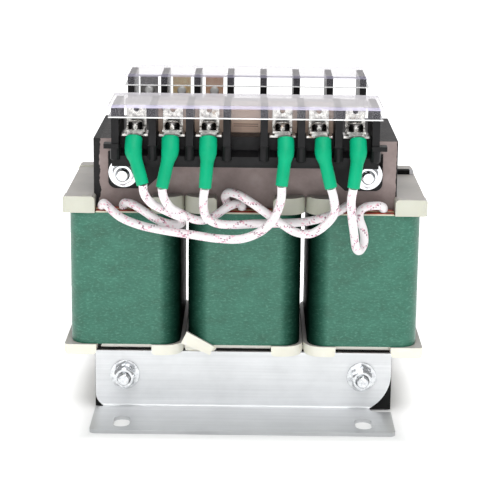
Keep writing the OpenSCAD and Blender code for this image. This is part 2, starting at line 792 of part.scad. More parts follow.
// Pocket for a terminal's nut in the seat, with the screw's hole below it
module terminal_pocket(x) {
    translate([x, -face - screw_reach, 0]) {
        translate([-pocket_w / 2, -pocket_w / 2, seat_z - terminal_nut_h])
            cube([pocket_w, pocket_w, terminal_nut_h + over]);
        translate([0, 0, seat_z - 3 * terminal_nut_h])
            cylinder(h = 3 * terminal_nut_h, d = screw_d + 2 * screw_gap);
    }
}

module terminal_cover() {
    half = block_half + cover_gap + cover_t;
    near = -barrier_back - cover_gap - cover_t;
    far = base_out + barrier_out + cover_gap + cover_t;
    cover_z = barrier_z + cover_top_t;
    color([0.86, 0.84, 0.94, 0.5]) difference() {
        block([-half, -face - far, cover_z - cover_h], [half, -face - near, cover_z]);
        block([-half + cover_t, -face - far + cover_t, barrier_z - cover_h],
            [half - cover_t, -face - near - cover_t, barrier_z]);
    }
}

// Terminal strip at x: an upright part with a small hole and a flat part under the clamp screw
module terminal_strip(x, screwed) {
    difference() {
        union() {
            translate([x - riser_w / 2, -face - riser_in, seat_z]) rotate([90, 0, 90])
                linear_extrude(riser_w) mirror([1, 0])
                    bent_profile(strip_foot, riser_h, strip_t, strip_bend);
            block([x - strip_w / 2, -face - riser_in - strip_foot, seat_z],
                [x + strip_w / 2, -face - riser_in - 2 * strip_bend, strip_z]);
        }
        if (!screwed) front_rod(x, seat_z + riser_h - riser_hole, riser_hole, face + riser_in - over,
            face + riser_in + strip_t + over);
        translate([x, -face - screw_reach, seat_z - over])
            cylinder(h = strip_t + 2 * over, d = screw_d + 2 * screw_gap);
        if (screwed) front_rod(x, riser_screw_z, fixing_d + 2 * screw_gap, face + riser_in - over,
            face + riser_in + strip_t + over);
    }
}

module terminal_strips_front() {
    color([0.80, 0.80, 0.78]) for (k = front_positions) terminal_strip(place_x(k), false);
}

// Strip k of the rear block, counted from the left as seen from the front
module rear_strip(k) {
    at_rear() terminal_strip(-place_x(k), true);
}

module terminal_strip_dark() {
    color([0.26, 0.26, 0.26]) rear_strip(rear_positions[0]);
}

module terminal_strip_brass() {
    color([0.83, 0.70, 0.42]) rear_strip(rear_positions[1]);
}

module terminal_strip_copper() {
    color([0.77, 0.56, 0.43]) rear_strip(rear_positions[2]);
}

// Runs its children at every fitted position of both blocks, in the front block's frame
module each_terminal() {
    for (k = front_positions) translate([place_x(k), -face - screw_reach, 0]) children();
    for (k = rear_positions) at_rear() translate([-place_x(k), -face - screw_reach, 0]) children();
}

// What lies between a strip and the washer: a lug at the front, nothing at the rear
function washer_z(front) = strip_z + (front ? lug_t : 0);

module square_washer(z) {
    translate([0, 0, z]) difference() {
        translate([-square_w / 2, -square_w / 2, 0]) cube([square_w, square_w, square_t]);
        translate([0, 0, -over]) cylinder(h = square_t + 2 * over, d = screw_d + 2 * screw_gap);
    }
}

module square_washers() {
    color([0.84, 0.84, 0.84]) {
        for (k = front_positions)
            translate([place_x(k), -face - screw_reach, 0]) square_washer(washer_z(true));
        at_rear() for (k = rear_positions)
            translate([-place_x(k), -face - screw_reach, 0]) square_washer(washer_z(false));
    }
}

// A pan-head screw with a cross recess, standing up from z
module clamp_screw(z) {
    translate([0, 0, z]) difference() {
        union() {
            pan_head(screw_head_d, screw_head_h);
            translate([0, 0, seat_z - 2 * terminal_nut_h - z])
                cylinder(h = z - seat_z + 2 * terminal_nut_h, d = screw_d);
        }
        for (turn = [0, 90]) rotate(turn) translate([-screw_head_d / 4, -screw_d / 10, screw_head_h / 2])
            cube([screw_head_d / 2, screw_d / 5, screw_head_h]);
    }
}

// A pan head: a cylinder with a round shoulder
module pan_head(d, h) {
    rotate_extrude() intersection() {
        square([d / 2, h]);
        union() {
            square([d / 2, h / 2]);
            square([d / 2 - h / 2, h]);
            translate([d / 2 - h / 2, h / 2]) circle(h / 2);
        }
    }
}

module clamp_screws() {
    color([0.82, 0.82, 0.82]) {
        for (k = front_positions)
            translate([place_x(k), -face - screw_reach, 0]) clamp_screw(washer_z(true) + square_t);
        at_rear() for (k = rear_positions)
            translate([-place_x(k), -face - screw_reach, 0]) clamp_screw(washer_z(false) + square_t);
    }
}

module terminal_nuts() {
    color([0.78, 0.78, 0.76]) each_terminal() translate([0, 0, seat_z - terminal_nut_h]) difference() {
        translate([screw_gap - pocket_w / 2, screw_gap - pocket_w / 2, 0])
            cube([pocket_w - 2 * screw_gap, pocket_w - 2 * screw_gap, terminal_nut_h]);
        translate([0, 0, -over]) cylinder(h = terminal_nut_h + 2 * over, d = screw_d + screw_gap);
    }
}

module riser_screws() {
    color([0.93, 0.93, 0.92]) at_rear() for (k = rear_positions)
        translate([-place_x(k), -face - riser_in, riser_screw_z]) rotate([-90, 0, 0]) {
            pan_head(fixing_head_d, fixing_head_h);
            translate([0, 0, -strip_t - fixing_nut_h - over])
                cylinder(h = strip_t + fixing_nut_h + over, d = fixing_d);
        }
}

module riser_nuts() {
    color([0.78, 0.78, 0.76]) at_rear() for (k = rear_positions)
        hex_nut(-place_x(k), riser_screw_z, face + riser_in + strip_t, fixing_nut_h, fixing_head_d,
            fixing_d + screw_gap);
}

// Screws that fix both blocks from below the shelves
module block_screws() {
    color([0.80, 0.80, 0.80]) for (side = [-1, 1]) {
        translate([side * fixing_x, -face - fixing_reach, 0]) block_screw();
        at_rear() translate([side * fixing_x, -face - fixing_reach, 0]) block_screw();
    }
}

module block_screw() {
    translate([0, 0, shelf_z - shelf_t]) {
        mirror([0, 0, 1]) pan_head(fixing_head_d, fixing_head_h);
        cylinder(h = shelf_t + fixing_depth, d = fixing_d);
    }
}

module backing_strip() {
    color([0.83, 0.70, 0.60])
        block([barrier_x(backing_positions[0] - 1), -face - backing_in - backing_t, seat_z],
            [barrier_x(backing_positions[1]), -face - backing_in, barrier_z]);
}

// Length and unit vector
function unit(v) = v / norm(v);

// Direction of a route at point i, at its first point as given, and the sweep's normals, each turned as
// little as it can be
function route_way(p, i, first) = i == 0 ? first : unit(p[min(i + 1, len(p) - 1)] - p[i - 1]);
function route_normals(p, i, last, first) = i == len(p) ? [] :
    let (way = route_way(p, i, first), n = unit(last - way * (last * way)))
    concat([n], route_normals(p, i + 1, n, first));

// A closed round tube along the points p, with a radius at each point, and its first end square to first
module swept(p, radii, sides, first) {
    normals = route_normals(p, 0, seam_way, first);
    rings = [for (i = [0 : len(p) - 1], j = [0 : sides - 1])
        let (a = 360 * j / sides, n = normals[i], m = cross(route_way(p, i, first), n))
        p[i] + radii[i] * (cos(a) * n + sin(a) * m)];
    walls = [for (i = [0 : len(p) - 2], j = [0 : sides - 1])
        let (a = i * sides + j, b = i * sides + (j + 1) % sides)
        [a, a + sides, b + sides, b]];
    caps = [[for (j = [0 : sides - 1]) j], [for (j = [sides - 1 : -1 : 0]) (len(p) - 1) * sides + j]];
    polyhedron(rings, concat(walls, caps), convexity = 6);
}

// A rod from point a to point b
module rod(a, b, d) {
    v = b - a;
    translate(a) rotate([0, acos(v.z / norm(v)), atan2(v.y, v.x)]) cylinder(h = norm(v), d = d);
}

// Route of sleeve n: along the lug's barrel, then in an even curve down to the lead's first point
function sleeve_route(n) =
    let (lug_end = face + riser_in + strip_foot + lug_over + barrel_d, sag = [0, -sleeve_sag, 0])
    let (a = [place_x(front_positions[n]) + barrel_shift[n], -lug_end, seat_z])
    let (b = a + barrel_way, c = lead_routes[n][0])
    [a, b, b + (c - b) / 3 + sag, b + 2 * (c - b) / 3 + sag, c];

// Lug n: a flat tongue under the square washer, bent down into a barrel inside the sleeve
module cable_lug(n) {
    p = sleeve_route(n);
    x = place_x(front_positions[n]);
    tongue_end = face + riser_in + strip_foot + lug_over;
    tongue_start = face + screw_reach - square_w / 2;
    difference() {
        block([x - lug_w / 2, -tongue_end, strip_z], [x + lug_w / 2, -tongue_start, strip_z + lug_t]);
        translate([x, -face - screw_reach, strip_z - over])
            cylinder(h = lug_t + 2 * over, d = screw_d + 2 * screw_gap);
    }
    way = unit(barrel_way);
    across = [way.z, -way.y] * barrel_d / 2;
    start = [p[0].y, p[0].z];
    translate([p[0].x - neck_w / 2, 0, 0]) rotate([90, 0, 90]) linear_extrude(neck_w)
        polygon([start + across, start - across,
            [-tongue_end + lug_t, strip_z], [-tongue_end + lug_t, strip_z + lug_t]]);
    rod(p[0], p[1], barrel_d);
}

module cable_lugs() {
    color([0.80, 0.80, 0.79]) for (n = [0 : len(front_positions) - 1]) cable_lug(n);
}

module heat_sleeve(n) {
    p = sleeve_route(n);
    color([0.09, 0.75, 0.53]) difference() {
        swept(p, sleeve_radii, 12, unit(barrel_way));
        rod(p[0] - 2 * over * unit(barrel_way), p[1], barrel_d);
    }
}

module lead(n) {
    p = lead_routes[n];
    sleeve = sleeve_route(n);
    sleeve_end = unit(sleeve[4] - sleeve[3]);
    color([0.95, 0.92, 0.92]) swept(p, [for (q = p) lead_d / 2], 8, sleeve_end);
}

// Black wedge that rests on the right-hand flange
module flange_wedge() {
    x = core_w / 2 + bobbin_joint;
    z = yoke_z + lobe_up - rail_step;
    color([0.10, 0.10, 0.11])
        block([x, wedge_y - wedge_d / 2, z], [x + wedge_len, wedge_y + wedge_d / 2, z + wedge_h]);
}

core_e_stack();
core_i_stack();
bobbin(-1);  // bobbin_left
bobbin(0);  // bobbin_middle
bobbin(1);  // bobbin_right
inner_winding(-1);  // inner_winding_left
inner_winding(0);  // inner_winding_middle
inner_winding(1);  // inner_winding_right
winding_paper(-1);  // winding_paper_left
winding_paper(0);  // winding_paper_middle
winding_paper(1);  // winding_paper_right
outer_winding(-1);  // outer_winding_left
outer_winding(0);  // outer_winding_middle
outer_winding(1);  // outer_winding_right
tape_wrap(-1);  // tape_wrap_left
tape_wrap(0);  // tape_wrap_middle
tape_wrap(1);  // tape_wrap_right
foot_bracket();  // foot_bracket_front
at_rear() foot_bracket();  // foot_bracket_rear
insulating_sheet();  // insulating_sheet_front
at_rear() insulating_sheet();  // insulating_sheet_rear
terminal_bracket();  // terminal_bracket_front
at_rear() terminal_bracket();  // terminal_bracket_rear
clamp_bolts_upper();
clamp_bolts_lower();
clamp_nuts();
flat_washers();
spring_washers();
terminal_block(front_positions);  // terminal_block_front
at_rear() terminal_block([for (k = rear_positions) positions + 1 - k]);  // terminal_block_rear
terminal_cover();  // terminal_cover_front
at_rear() terminal_cover();  // terminal_cover_rear
terminal_strips_front();
terminal_strip_dark();
terminal_strip_brass();
terminal_strip_copper();
clamp_screws();
square_washers();
terminal_nuts();
riser_screws();
riser_nuts();
block_screws();
backing_strip();
cable_lugs();
heat_sleeve(0);  // heat_sleeve_1
heat_sleeve(1);  // heat_sleeve_2
heat_sleeve(2);  // heat_sleeve_3
heat_sleeve(3);  // heat_sleeve_5
heat_sleeve(4);  // heat_sleeve_6
heat_sleeve(5);  // heat_sleeve_7
lead(0);  // lead_1
lead(1);  // lead_2
lead(2);  // lead_3
lead(3);  // lead_5
lead(4);  // lead_6
lead(5);  // lead_7
flange_wedge();
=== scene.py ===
"""Looks of the three-phase transformer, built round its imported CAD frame.

Metres, Z up, the lead side faces -Y.
"""
import json
import math
import random

import bmesh
import bpy
from mathutils import Matrix, Vector


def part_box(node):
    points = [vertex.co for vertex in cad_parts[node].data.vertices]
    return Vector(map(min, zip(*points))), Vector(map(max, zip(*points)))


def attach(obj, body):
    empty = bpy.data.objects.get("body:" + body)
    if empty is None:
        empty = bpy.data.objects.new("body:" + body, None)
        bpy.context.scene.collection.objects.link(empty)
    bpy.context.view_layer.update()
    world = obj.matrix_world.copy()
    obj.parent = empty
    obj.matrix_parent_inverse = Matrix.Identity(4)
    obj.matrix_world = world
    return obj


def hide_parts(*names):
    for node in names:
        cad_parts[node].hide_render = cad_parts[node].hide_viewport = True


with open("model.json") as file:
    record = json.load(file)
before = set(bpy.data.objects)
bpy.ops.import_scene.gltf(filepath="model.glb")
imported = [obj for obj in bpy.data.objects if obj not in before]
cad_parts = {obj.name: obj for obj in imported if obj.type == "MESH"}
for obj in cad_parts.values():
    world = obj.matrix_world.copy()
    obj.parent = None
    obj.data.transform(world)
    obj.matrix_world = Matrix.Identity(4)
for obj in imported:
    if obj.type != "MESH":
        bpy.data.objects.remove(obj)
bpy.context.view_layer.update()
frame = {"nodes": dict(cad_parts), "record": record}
MM = 0.001

# Camera, fitted to the photograph: place in metres, angles in degrees
PHOTO_SIDE = 500
FOCAL_PX = 1656.4
SENSOR_MM = 36.0
CAMERA_PLACE = (0.00522, -1.11658, 0.37948)
CAMERA_PITCH = 14.051
CAMERA_ROLL = 0.669
CAMERA_YAW = -0.088

# Leads: number of the terminal, and the route from part.scad in metres
LEAD_D = 0.0056
LEAD_ROUTES = {
    1: [(-0.064, -0.101, 0.167), (-0.063, -0.099, 0.160), (-0.059, -0.093, 0.153), (-0.053, -0.086, 0.148),
        (-0.046, -0.079, 0.143), (-0.041, -0.073, 0.139), (-0.042, -0.068, 0.134), (-0.050, -0.067, 0.134),
        (-0.058, -0.067, 0.137), (-0.066, -0.066, 0.142), (-0.073, -0.063, 0.1455), (-0.078, -0.058, 0.1455),
        (-0.080, -0.0543, 0.1436), (-0.080, -0.0533, 0.1413)],
    2: [(-0.052, -0.101, 0.165), (-0.051, -0.098, 0.158), (-0.047, -0.092, 0.150), (-0.041, -0.085, 0.145),
        (-0.036, -0.079, 0.141), (-0.030, -0.074, 0.138), (-0.024, -0.071, 0.138), (-0.018, -0.069, 0.141),
        (-0.013, -0.066, 0.144), (-0.008, -0.063, 0.146), (-0.004, -0.058, 0.146), (-0.002, -0.0543, 0.1439),
        (-0.002, -0.0533, 0.1413)],
    3: [(-0.025, -0.101, 0.165), (-0.026, -0.098, 0.158), (-0.026, -0.091, 0.149), (-0.024, -0.085, 0.142),
        (-0.017, -0.079, 0.137), (-0.006, -0.073, 0.135), (0.008, -0.069, 0.135), (0.023, -0.067, 0.135),
        (0.038, -0.067, 0.136), (0.051, -0.067, 0.139), (0.061, -0.065, 0.143), (0.067, -0.059, 0.1455),
        (0.070, -0.0543, 0.1436), (0.0709, -0.0533, 0.14145)],
    5: [(0.023, -0.101, 0.167), (0.023, -0.098, 0.159), (0.021, -0.092, 0.149), (0.017, -0.086, 0.140),
        (0.009, -0.082, 0.132), (-0.003, -0.079, 0.127), (-0.018, -0.078, 0.127), (-0.034, -0.077, 0.129),
        (-0.051, -0.075, 0.131), (-0.067, -0.070, 0.133), (-0.080, -0.066, 0.137), (-0.088, -0.061, 0.142),
        (-0.092, -0.057, 0.1447), (-0.094, -0.0543, 0.1432), (-0.094, -0.0533, 0.1413)],
    6: [(0.054, -0.101, 0.166), (0.056, -0.098, 0.158), (0.057, -0.091, 0.148), (0.052, -0.086, 0.139),
        (0.043, -0.082, 0.132), (0.033, -0.079, 0.132), (0.024, -0.078, 0.137), (0.015, -0.077, 0.143),
        (0.006, -0.075, 0.149), (-0.003, -0.072, 0.154), (-0.010, -0.067, 0.155), (-0.013, -0.060, 0.151),
        (-0.012, -0.0552, 0.1458), (-0.011, -0.0533, 0.1413)],
    7: [(0.068, -0.101, 0.166), (0.067, -0.098, 0.157), (0.068, -0.092, 0.146), (0.070, -0.085, 0.134),
        (0.072, -0.077, 0.122), (0.075, -0.070, 0.118), (0.078, -0.065, 0.122), (0.0775, -0.063, 0.130),
        (0.075, -0.063, 0.137), (0.075, -0.062, 0.142), (0.0785, -0.0605, 0.1449), (0.0835, -0.0585, 0.1454),
        (0.088, -0.0563, 0.145), (0.0907, -0.0543, 0.1436), (0.091, -0.0533, 0.1413)]}

# Places along a block: their pitch, and the number of the middle one
TERMINAL_PITCH = 0.0234
MIDDLE_PLACE = 4

# Sleeves over the lugs, as in part.scad: where they start in Y and Z, the way of the lug's barrel, its shift
# along X, the sag, and the radii along the way
SLEEVE_START = (-0.0897, 0.194)
BARREL_WAY = Vector((0, -0.005, -0.007))
BARREL_SHIFT = {1: 0, 2: -0.0004, 3: 0, 5: 0.002, 6: 0.002, 7: 0.0006}
SLEEVE_SAG = 0.0008
SLEEVE_RADII = (0.0054, 0.0054, 0.0041, 0.0041, 0.0039)

# Coils: distance between two limbs, top of the coils between their flanges, reach of the painted shade on
# the tape from the middle of a gap, and the height above which the bobbins are painted darker as shade
COIL_PITCH = 0.080
COIL_HIGH = 0.1385
GAP_SHADE_REACH = 0.017
SHADED_FROM = COIL_HIGH - 0.005
JUST_OVER = 0.0001

# Dimples near the barriers' tops, as in part.scad
DIMPLE_D = 0.0018
DIMPLE_DROP = 0.0034

# Scratches on the backing strip at the free place: their heights, width and half length
SCRATCHES = (0.1994, 0.1981)
SCRATCH_W = 0.0005
SCRATCH_HALF = 0.008

# Core: height below which its face is a strip over the foot painted light, as light bounced up from below,
# and where the black varnish of its ends starts, with how far that edge wanders
LIT_STRIP_TOP = 0.047
VARNISH_LEFT, WANDER_LEFT = -0.0995, 0.007
VARNISH_RIGHT, WANDER_RIGHT = 0.1007, -0.003

# Height below which the foot bracket lies flat, and depths of the cover's milky roof, of its rim painted
# white as a highlight and of the wedge's grey end
FLAT_FOOT = 0.0045
ROOF_DEEP = 0.0021
HIGHLIGHT_RIM_DEEP = 0.0007
GREY_END = 0.0026

# Share of a normal along an axis from which a face looks that way, and from which a roof's edge is painted
# with piped light
LOOKS = 0.7
PIPED_LIGHT_LOOKS = 0.3


def linear(r, g, b):
    """An sRGB colour from 0 to 255 as a linear RGBA."""
    parts = [c / 255 for c in (r, g, b)]
    return tuple(c / 12.92 if c <= 0.04045 else ((c + 0.055) / 1.055) ** 2.4 for c in parts) + (1.0,)


def grey(value):
    return (value, value, value, 1.0)


# Camera

def make_camera():
    pitch, roll, yaw = (math.radians(a) for a in (CAMERA_PITCH, CAMERA_ROLL, CAMERA_YAW))
    ahead = Vector((math.sin(yaw) * math.cos(pitch), math.cos(yaw) * math.cos(pitch), -math.sin(pitch)))
    level = Vector((math.cos(yaw), -math.sin(yaw), 0))
    above = level.cross(ahead)
    right = level * math.cos(roll) + above * math.sin(roll)
    up = above * math.cos(roll) - level * math.sin(roll)
    data = bpy.data.cameras.new("camera")
    data.sensor_width = SENSOR_MM
    data.lens = SENSOR_MM * FOCAL_PX / PHOTO_SIDE
    data.clip_start, data.clip_end = 0.05, 20
    camera = bpy.data.objects.new("camera", data)
    bpy.context.scene.collection.objects.link(camera)
    turn = Matrix((right, up, -ahead)).transposed().to_4x4()
    camera.matrix_world = Matrix.Translation(Vector(CAMERA_PLACE)) @ turn
    bpy.context.scene.camera = camera


make_camera()


# Mesh helpers

SHARP_DEGREES = 30
CORNER_STEPS = 8


def smooth(points, step):
    """A Catmull-Rom line through the points, with a point about every step."""
    p = [Vector(q) for q in points]
    p = [2 * p[0] - p[1]] + p + [2 * p[-1] - p[-2]]
    line = []
    for a, b, c, d in zip(p, p[1:], p[2:], p[3:]):
        count = max(2, round((c - b).length / step))
        for k in range(count):
            t = k / count
            line.append(0.5 * (2 * b + (c - a) * t + (2 * a - 5 * b + 4 * c - d) * t * t
                               + (3 * b - a - 3 * c + d) * t ** 3))
    return line + [p[-2].copy()]


def line_length(line):
    return sum((b - a).length for a, b in zip(line, line[1:]))


def dress(piece, slot):
    piece.data.materials.clear()
    piece.data.materials.append(MATERIALS[slot])


def new_piece(name, mesh, slot, node):
    """Links a mesh as a piece that rides on the part, with its record slot and the CAD node it replaces."""
    piece = bpy.data.objects.new(name, mesh)
    bpy.context.scene.collection.objects.link(piece)
    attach(piece, "root")
    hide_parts(node)
    dress(piece, slot)
    return piece


def finish_mesh(name, bm, sharp_degrees=SHARP_DEGREES):
    """Turns a bmesh into a mesh with smooth shading and sharp edges past an angle."""
    mesh = bpy.data.meshes.new(name)
    bmesh.ops.recalc_face_normals(bm, faces=bm.faces)
    bm.to_mesh(mesh)
    bm.free()
    mesh.polygons.foreach_set("use_smooth", [True] * len(mesh.polygons))
    mesh.set_sharp_from_angle(angle=math.radians(sharp_degrees))
    return mesh


def grid(bm, rows, closed):
    """Faces between closed rows of points of equal length: back to the first row, or over both ends."""
    verts = [[bm.verts.new(p) for p in row] for row in rows]
    n = len(rows[0])
    for a, b in zip(verts, verts[1:] + (verts[:1] if closed else [])):
        for j in range(n):
            bm.faces.new((a[j], a[(j + 1) % n], b[(j + 1) % n], b[j]))
    if not closed:
        bm.faces.new(verts[0])
        bm.faces.new(list(reversed(verts[-1])))


def sweep(bm, line, radius, sides, ends=((), ())):
    """A tube along a line, as wide as radius(angle, run). ends adds rings (inset, radius) at either end."""
    frames, normal, run, runs = [], Vector((0.3, -0.9, 0.3)), 0.0, []
    for i, p in enumerate(line):
        way = (line[min(i + 1, len(line) - 1)] - line[max(i - 1, 0)]).normalized()
        normal = (normal - way * way.dot(normal)).normalized()
        frames.append((p, way, normal.copy(), way.cross(normal)))
        run += (p - line[i - 1]).length if i else 0.0
        runs.append(run)
    rows = []

    def ring(at, radius_of, shift=0.0):
        p, way, n, m = frames[at]
        row = []
        for j in range(sides):
            angle = 2 * math.pi * j / sides
            row.append(p + way * shift + radius_of(angle) * (math.cos(angle) * n + math.sin(angle) * m))
        return row

    for inset, r in reversed(ends[0]):
        rows.append(ring(0, lambda a, r=r: r, inset))
    for i in range(len(line)):
        rows.append(ring(i, lambda a, i=i: radius(a, runs[i])))
    for inset, r in ends[1]:
        rows.append(ring(len(line) - 1, lambda a, r=r: r, -inset))
    grid(bm, rows, False)
    return runs


def rounded_outline(x0, x1, y, r):
    """Points round a rounded rectangle, from its +X side counter-clockwise, as many whatever the sizes."""
    points = []
    corners = ((x1 - r, y - r, 0), (x0 + r, y - r, 90), (x0 + r, -y + r, 180), (x1 - r, -y + r, 270))
    for cx, cy, start in corners:
        for k in range(CORNER_STEPS + 1):
            angle = math.radians(start + 90 * k / CORNER_STEPS)
            points.append((cx + r * math.cos(angle), cy + r * math.sin(angle)))
    return points


def lathe_outline(inner, outer, profile):
    """Rows of points along a profile of (share from inner to outer, z), each row once round the outline."""
    return [[Vector((a[0] + (b[0] - a[0]) * share, a[1] + (b[1] - a[1]) * share, z))
             for a, b in zip(inner, outer)] for share, z in profile]


def softened(node, slot, width):
    """A copy of a CAD node's shape with its hard edges rounded by width."""
    bm = bmesh.new()
    bm.from_mesh(frame["nodes"][node].data)
    bmesh.ops.remove_doubles(bm, verts=bm.verts, dist=1e-6)
    bmesh.ops.dissolve_limit(bm, angle_limit=math.radians(1), verts=bm.verts, edges=bm.edges)
    piece = new_piece(node + "_shape", finish_mesh(node + "_shape", bm), slot, node)
    bevel = piece.modifiers.new("edges", "BEVEL")
    bevel.width = width
    bevel.segments = 2
    bevel.limit_method = "ANGLE"
    bevel.angle_limit = math.radians(SHARP_DEGREES)
    bevel.use_clamp_overlap = True
    bevel.harden_normals = True


# Material helpers

def add(tree, kind, inputs=None, **settings):
    """A shader node with its settings, and its inputs set to values or linked to sockets."""
    node = tree.nodes.new(kind)
    for key, value in settings.items():
        setattr(node, key, value)
    for key, value in (inputs or {}).items():
        if isinstance(value, bpy.types.NodeSocket):
            tree.links.new(value, node.inputs[key])
        else:
            node.inputs[key].default_value = value
    return node


def new_material(name, **shader):
    """A material with a Principled shader. Values are set on the shader's own sockets."""
    mat = bpy.data.materials.new(name)
    mat.use_nodes = True
    tree = mat.node_tree
    tree.nodes.clear()
    out = add(tree, "ShaderNodeOutputMaterial")
    bsdf = add(tree, "ShaderNodeBsdfPrincipled", shader)
    tree.links.new(bsdf.outputs["BSDF"], out.inputs["Surface"])
    return mat, tree, bsdf


def place(tree):
    """Places on the part, in metres of the row frame."""
    return add(tree, "ShaderNodeTexCoord").outputs["Object"]


def stretched(tree, vector, scale):
    return add(tree, "ShaderNodeMapping", {"Vector": vector, "Scale": scale}).outputs["Vector"]


def noise(tree, vector, scale, detail=4.0, roughness=0.55):
    inputs = {"Vector": vector, "Scale": scale, "Detail": detail, "Roughness": roughness}
    return add(tree, "ShaderNodeTexNoise", inputs).outputs["Fac"]


def ramp(tree, value, stops):
    """Colours or greys at places along a value."""
    node = add(tree, "ShaderNodeValToRGB", {"Fac": value})
    elements = node.color_ramp.elements
    while len(elements) < len(stops):
        elements.new(0.5)
    for element, (at, colour) in zip(elements, stops):
        element.position = at
        element.color = colour if isinstance(colour, tuple) else grey(colour)
    return node.outputs["Color"]


def math_node(tree, operation, a, b=0.0, c=0.0):
    node = tree.nodes.new("ShaderNodeMath")
    node.operation = operation
    for socket, value in zip(node.inputs, (a, b, c)):
        if isinstance(value, bpy.types.NodeSocket):
            tree.links.new(value, socket)
        else:
            socket.default_value = value
    return node.outputs[0]


def blend(tree, share, a, b, mode="MIX"):
    node = tree.nodes.new("ShaderNodeMix")
    node.data_type = "RGBA"
    node.blend_type = mode
    for index, value in ((0, share), (6, a), (7, b)):
        if isinstance(value, bpy.types.NodeSocket):
            tree.links.new(value, node.inputs[index])
        else:
            node.inputs[index].default_value = value
    return node.outputs[2]


def axis(tree, vector, name):
    return add(tree, "ShaderNodeSeparateXYZ", {"Vector": vector}).outputs[name]


def facing(tree, name):
    """The surface's own normal along one axis of the part."""
    normal = add(tree, "ShaderNodeNewGeometry").outputs["Normal"]
    return axis(tree, normal, name)


def bump(tree, bsdf, height, distance, strength):
    node = add(tree, "ShaderNodeBump", {"Height": height, "Distance": distance, "Strength": strength})
    tree.links.new(node.outputs["Normal"], bsdf.inputs["Normal"])


def paint(tree, bsdf, colour):
    tree.links.new(colour, bsdf.inputs["Base Color"])


def polish(tree, bsdf, roughness):
    tree.links.new(roughness, bsdf.inputs["Roughness"])


# Materials, each named after its record slot

def core_material():
    """Varnished laminations: mauve-grey faces, painted light on the strip over the foot, fine lines on the
    edges, black ends.
    """
    mat, tree, bsdf = new_material("core", Metallic=0.25, IOR=1.45)
    at = place(tree)
    mottle = noise(tree, at, 60, 6)
    fine = noise(tree, at, 900, 3)
    face = ramp(tree, mottle, [(0.3, linear(126, 111, 109)), (0.55, linear(147, 132, 129)),
                               (0.75, linear(164, 150, 146))])
    # Painted light: the face over the foot is near white, standing in for light bounced up under the flanges
    lower = math_node(tree, "LESS_THAN", axis(tree, at, "Z"), LIT_STRIP_TOP)
    face = blend(tree, lower, face, linear(240, 240, 232))
    sheet_edge = noise(tree, stretched(tree, at, (6, 2000, 6)), 1, 2)
    edge = ramp(tree, sheet_edge, [(0.35, linear(22, 21, 22)), (0.65, linear(58, 54, 54))])
    is_face = math_node(tree, "GREATER_THAN", math_node(tree, "ABSOLUTE", facing(tree, "Y")), LOOKS)
    colour = blend(tree, is_face, edge, face)
    wobble = noise(tree, stretched(tree, at, (1, 1, 120)), 1.0, 3)
    left_end = math_node(tree, "MULTIPLY_ADD", wobble, WANDER_LEFT, VARNISH_LEFT)
    right_end = math_node(tree, "MULTIPLY_ADD", wobble, WANDER_RIGHT, VARNISH_RIGHT)
    along = axis(tree, at, "X")
    varnish = math_node(tree, "MAXIMUM", math_node(tree, "LESS_THAN", along, left_end),
                        math_node(tree, "GREATER_THAN", along, right_end))
    paint(tree, bsdf, blend(tree, varnish, colour, linear(14, 13, 14)))
    polish(tree, bsdf, ramp(tree, fine, [(0.3, 0.42), (0.7, 0.6)]))
    lines = math_node(tree, "MULTIPLY_ADD", math_node(tree, "SUBTRACT", 1.0, is_face), sheet_edge,
                      math_node(tree, "MULTIPLY", fine, 0.15))
    bump(tree, bsdf, lines, 0.0004, 0.6)
    return mat


def tape_material():
    """Green varnished glass tape: a mottled weave, painted shade toward the next coil, cream at its cut
    edge.
    """
    mat, tree, bsdf = new_material("tape", IOR=1.5)
    at = place(tree)
    mottle = noise(tree, stretched(tree, at, (60, 60, 110)), 1, 6, 0.7)
    dash = noise(tree, stretched(tree, at, (420, 420, 900)), 1, 3, 0.6)
    colour = ramp(tree, mottle, [(0.3, linear(33, 91, 71)), (0.5, linear(41, 105, 85)),
                                 (0.7, linear(52, 117, 96))])
    colour = blend(tree, ramp(tree, dash, [(0.52, 0.0), (0.75, 0.55)]), colour, linear(92, 154, 131))
    colour = blend(tree, ramp(tree, dash, [(0.25, 0.5), (0.45, 0.0)]), colour, linear(30, 92, 72))
    # Painted shade: the colour falls toward the gap between coils, where the next coil shades the tape
    between = math_node(tree, "SUBTRACT", math_node(tree, "ABSOLUTE", axis(tree, at, "X")), COIL_PITCH / 2)
    from_gap = math_node(tree, "MULTIPLY", math_node(tree, "ABSOLUTE", between), 1 / GAP_SHADE_REACH)
    painted_gap_light = ramp(tree, from_gap, [(0.2, 0.06), (0.36, 0.15), (0.5, 0.28), (0.72, 0.56), (0.95, 1.0)])
    colour = blend(tree, 1.0, colour, painted_gap_light, "MULTIPLY")
    rim = math_node(tree, "GREATER_THAN", axis(tree, at, "Z"), COIL_HIGH + JUST_OVER)
    colour = blend(tree, rim, colour, linear(214, 210, 188))
    paint(tree, bsdf, colour)
    # Painted shade on the shine too: it fades toward the gap
    shine = math_node(tree, "MULTIPLY", math_node(tree, "MULTIPLY", painted_gap_light, painted_gap_light), 0.5)
    tree.links.new(shine, bsdf.inputs["Specular IOR Level"])
    polish(tree, bsdf, ramp(tree, mottle, [(0.3, 0.3), (0.7, 0.42)]))
    bump(tree, bsdf, dash, 0.0002, 0.4)
    return mat


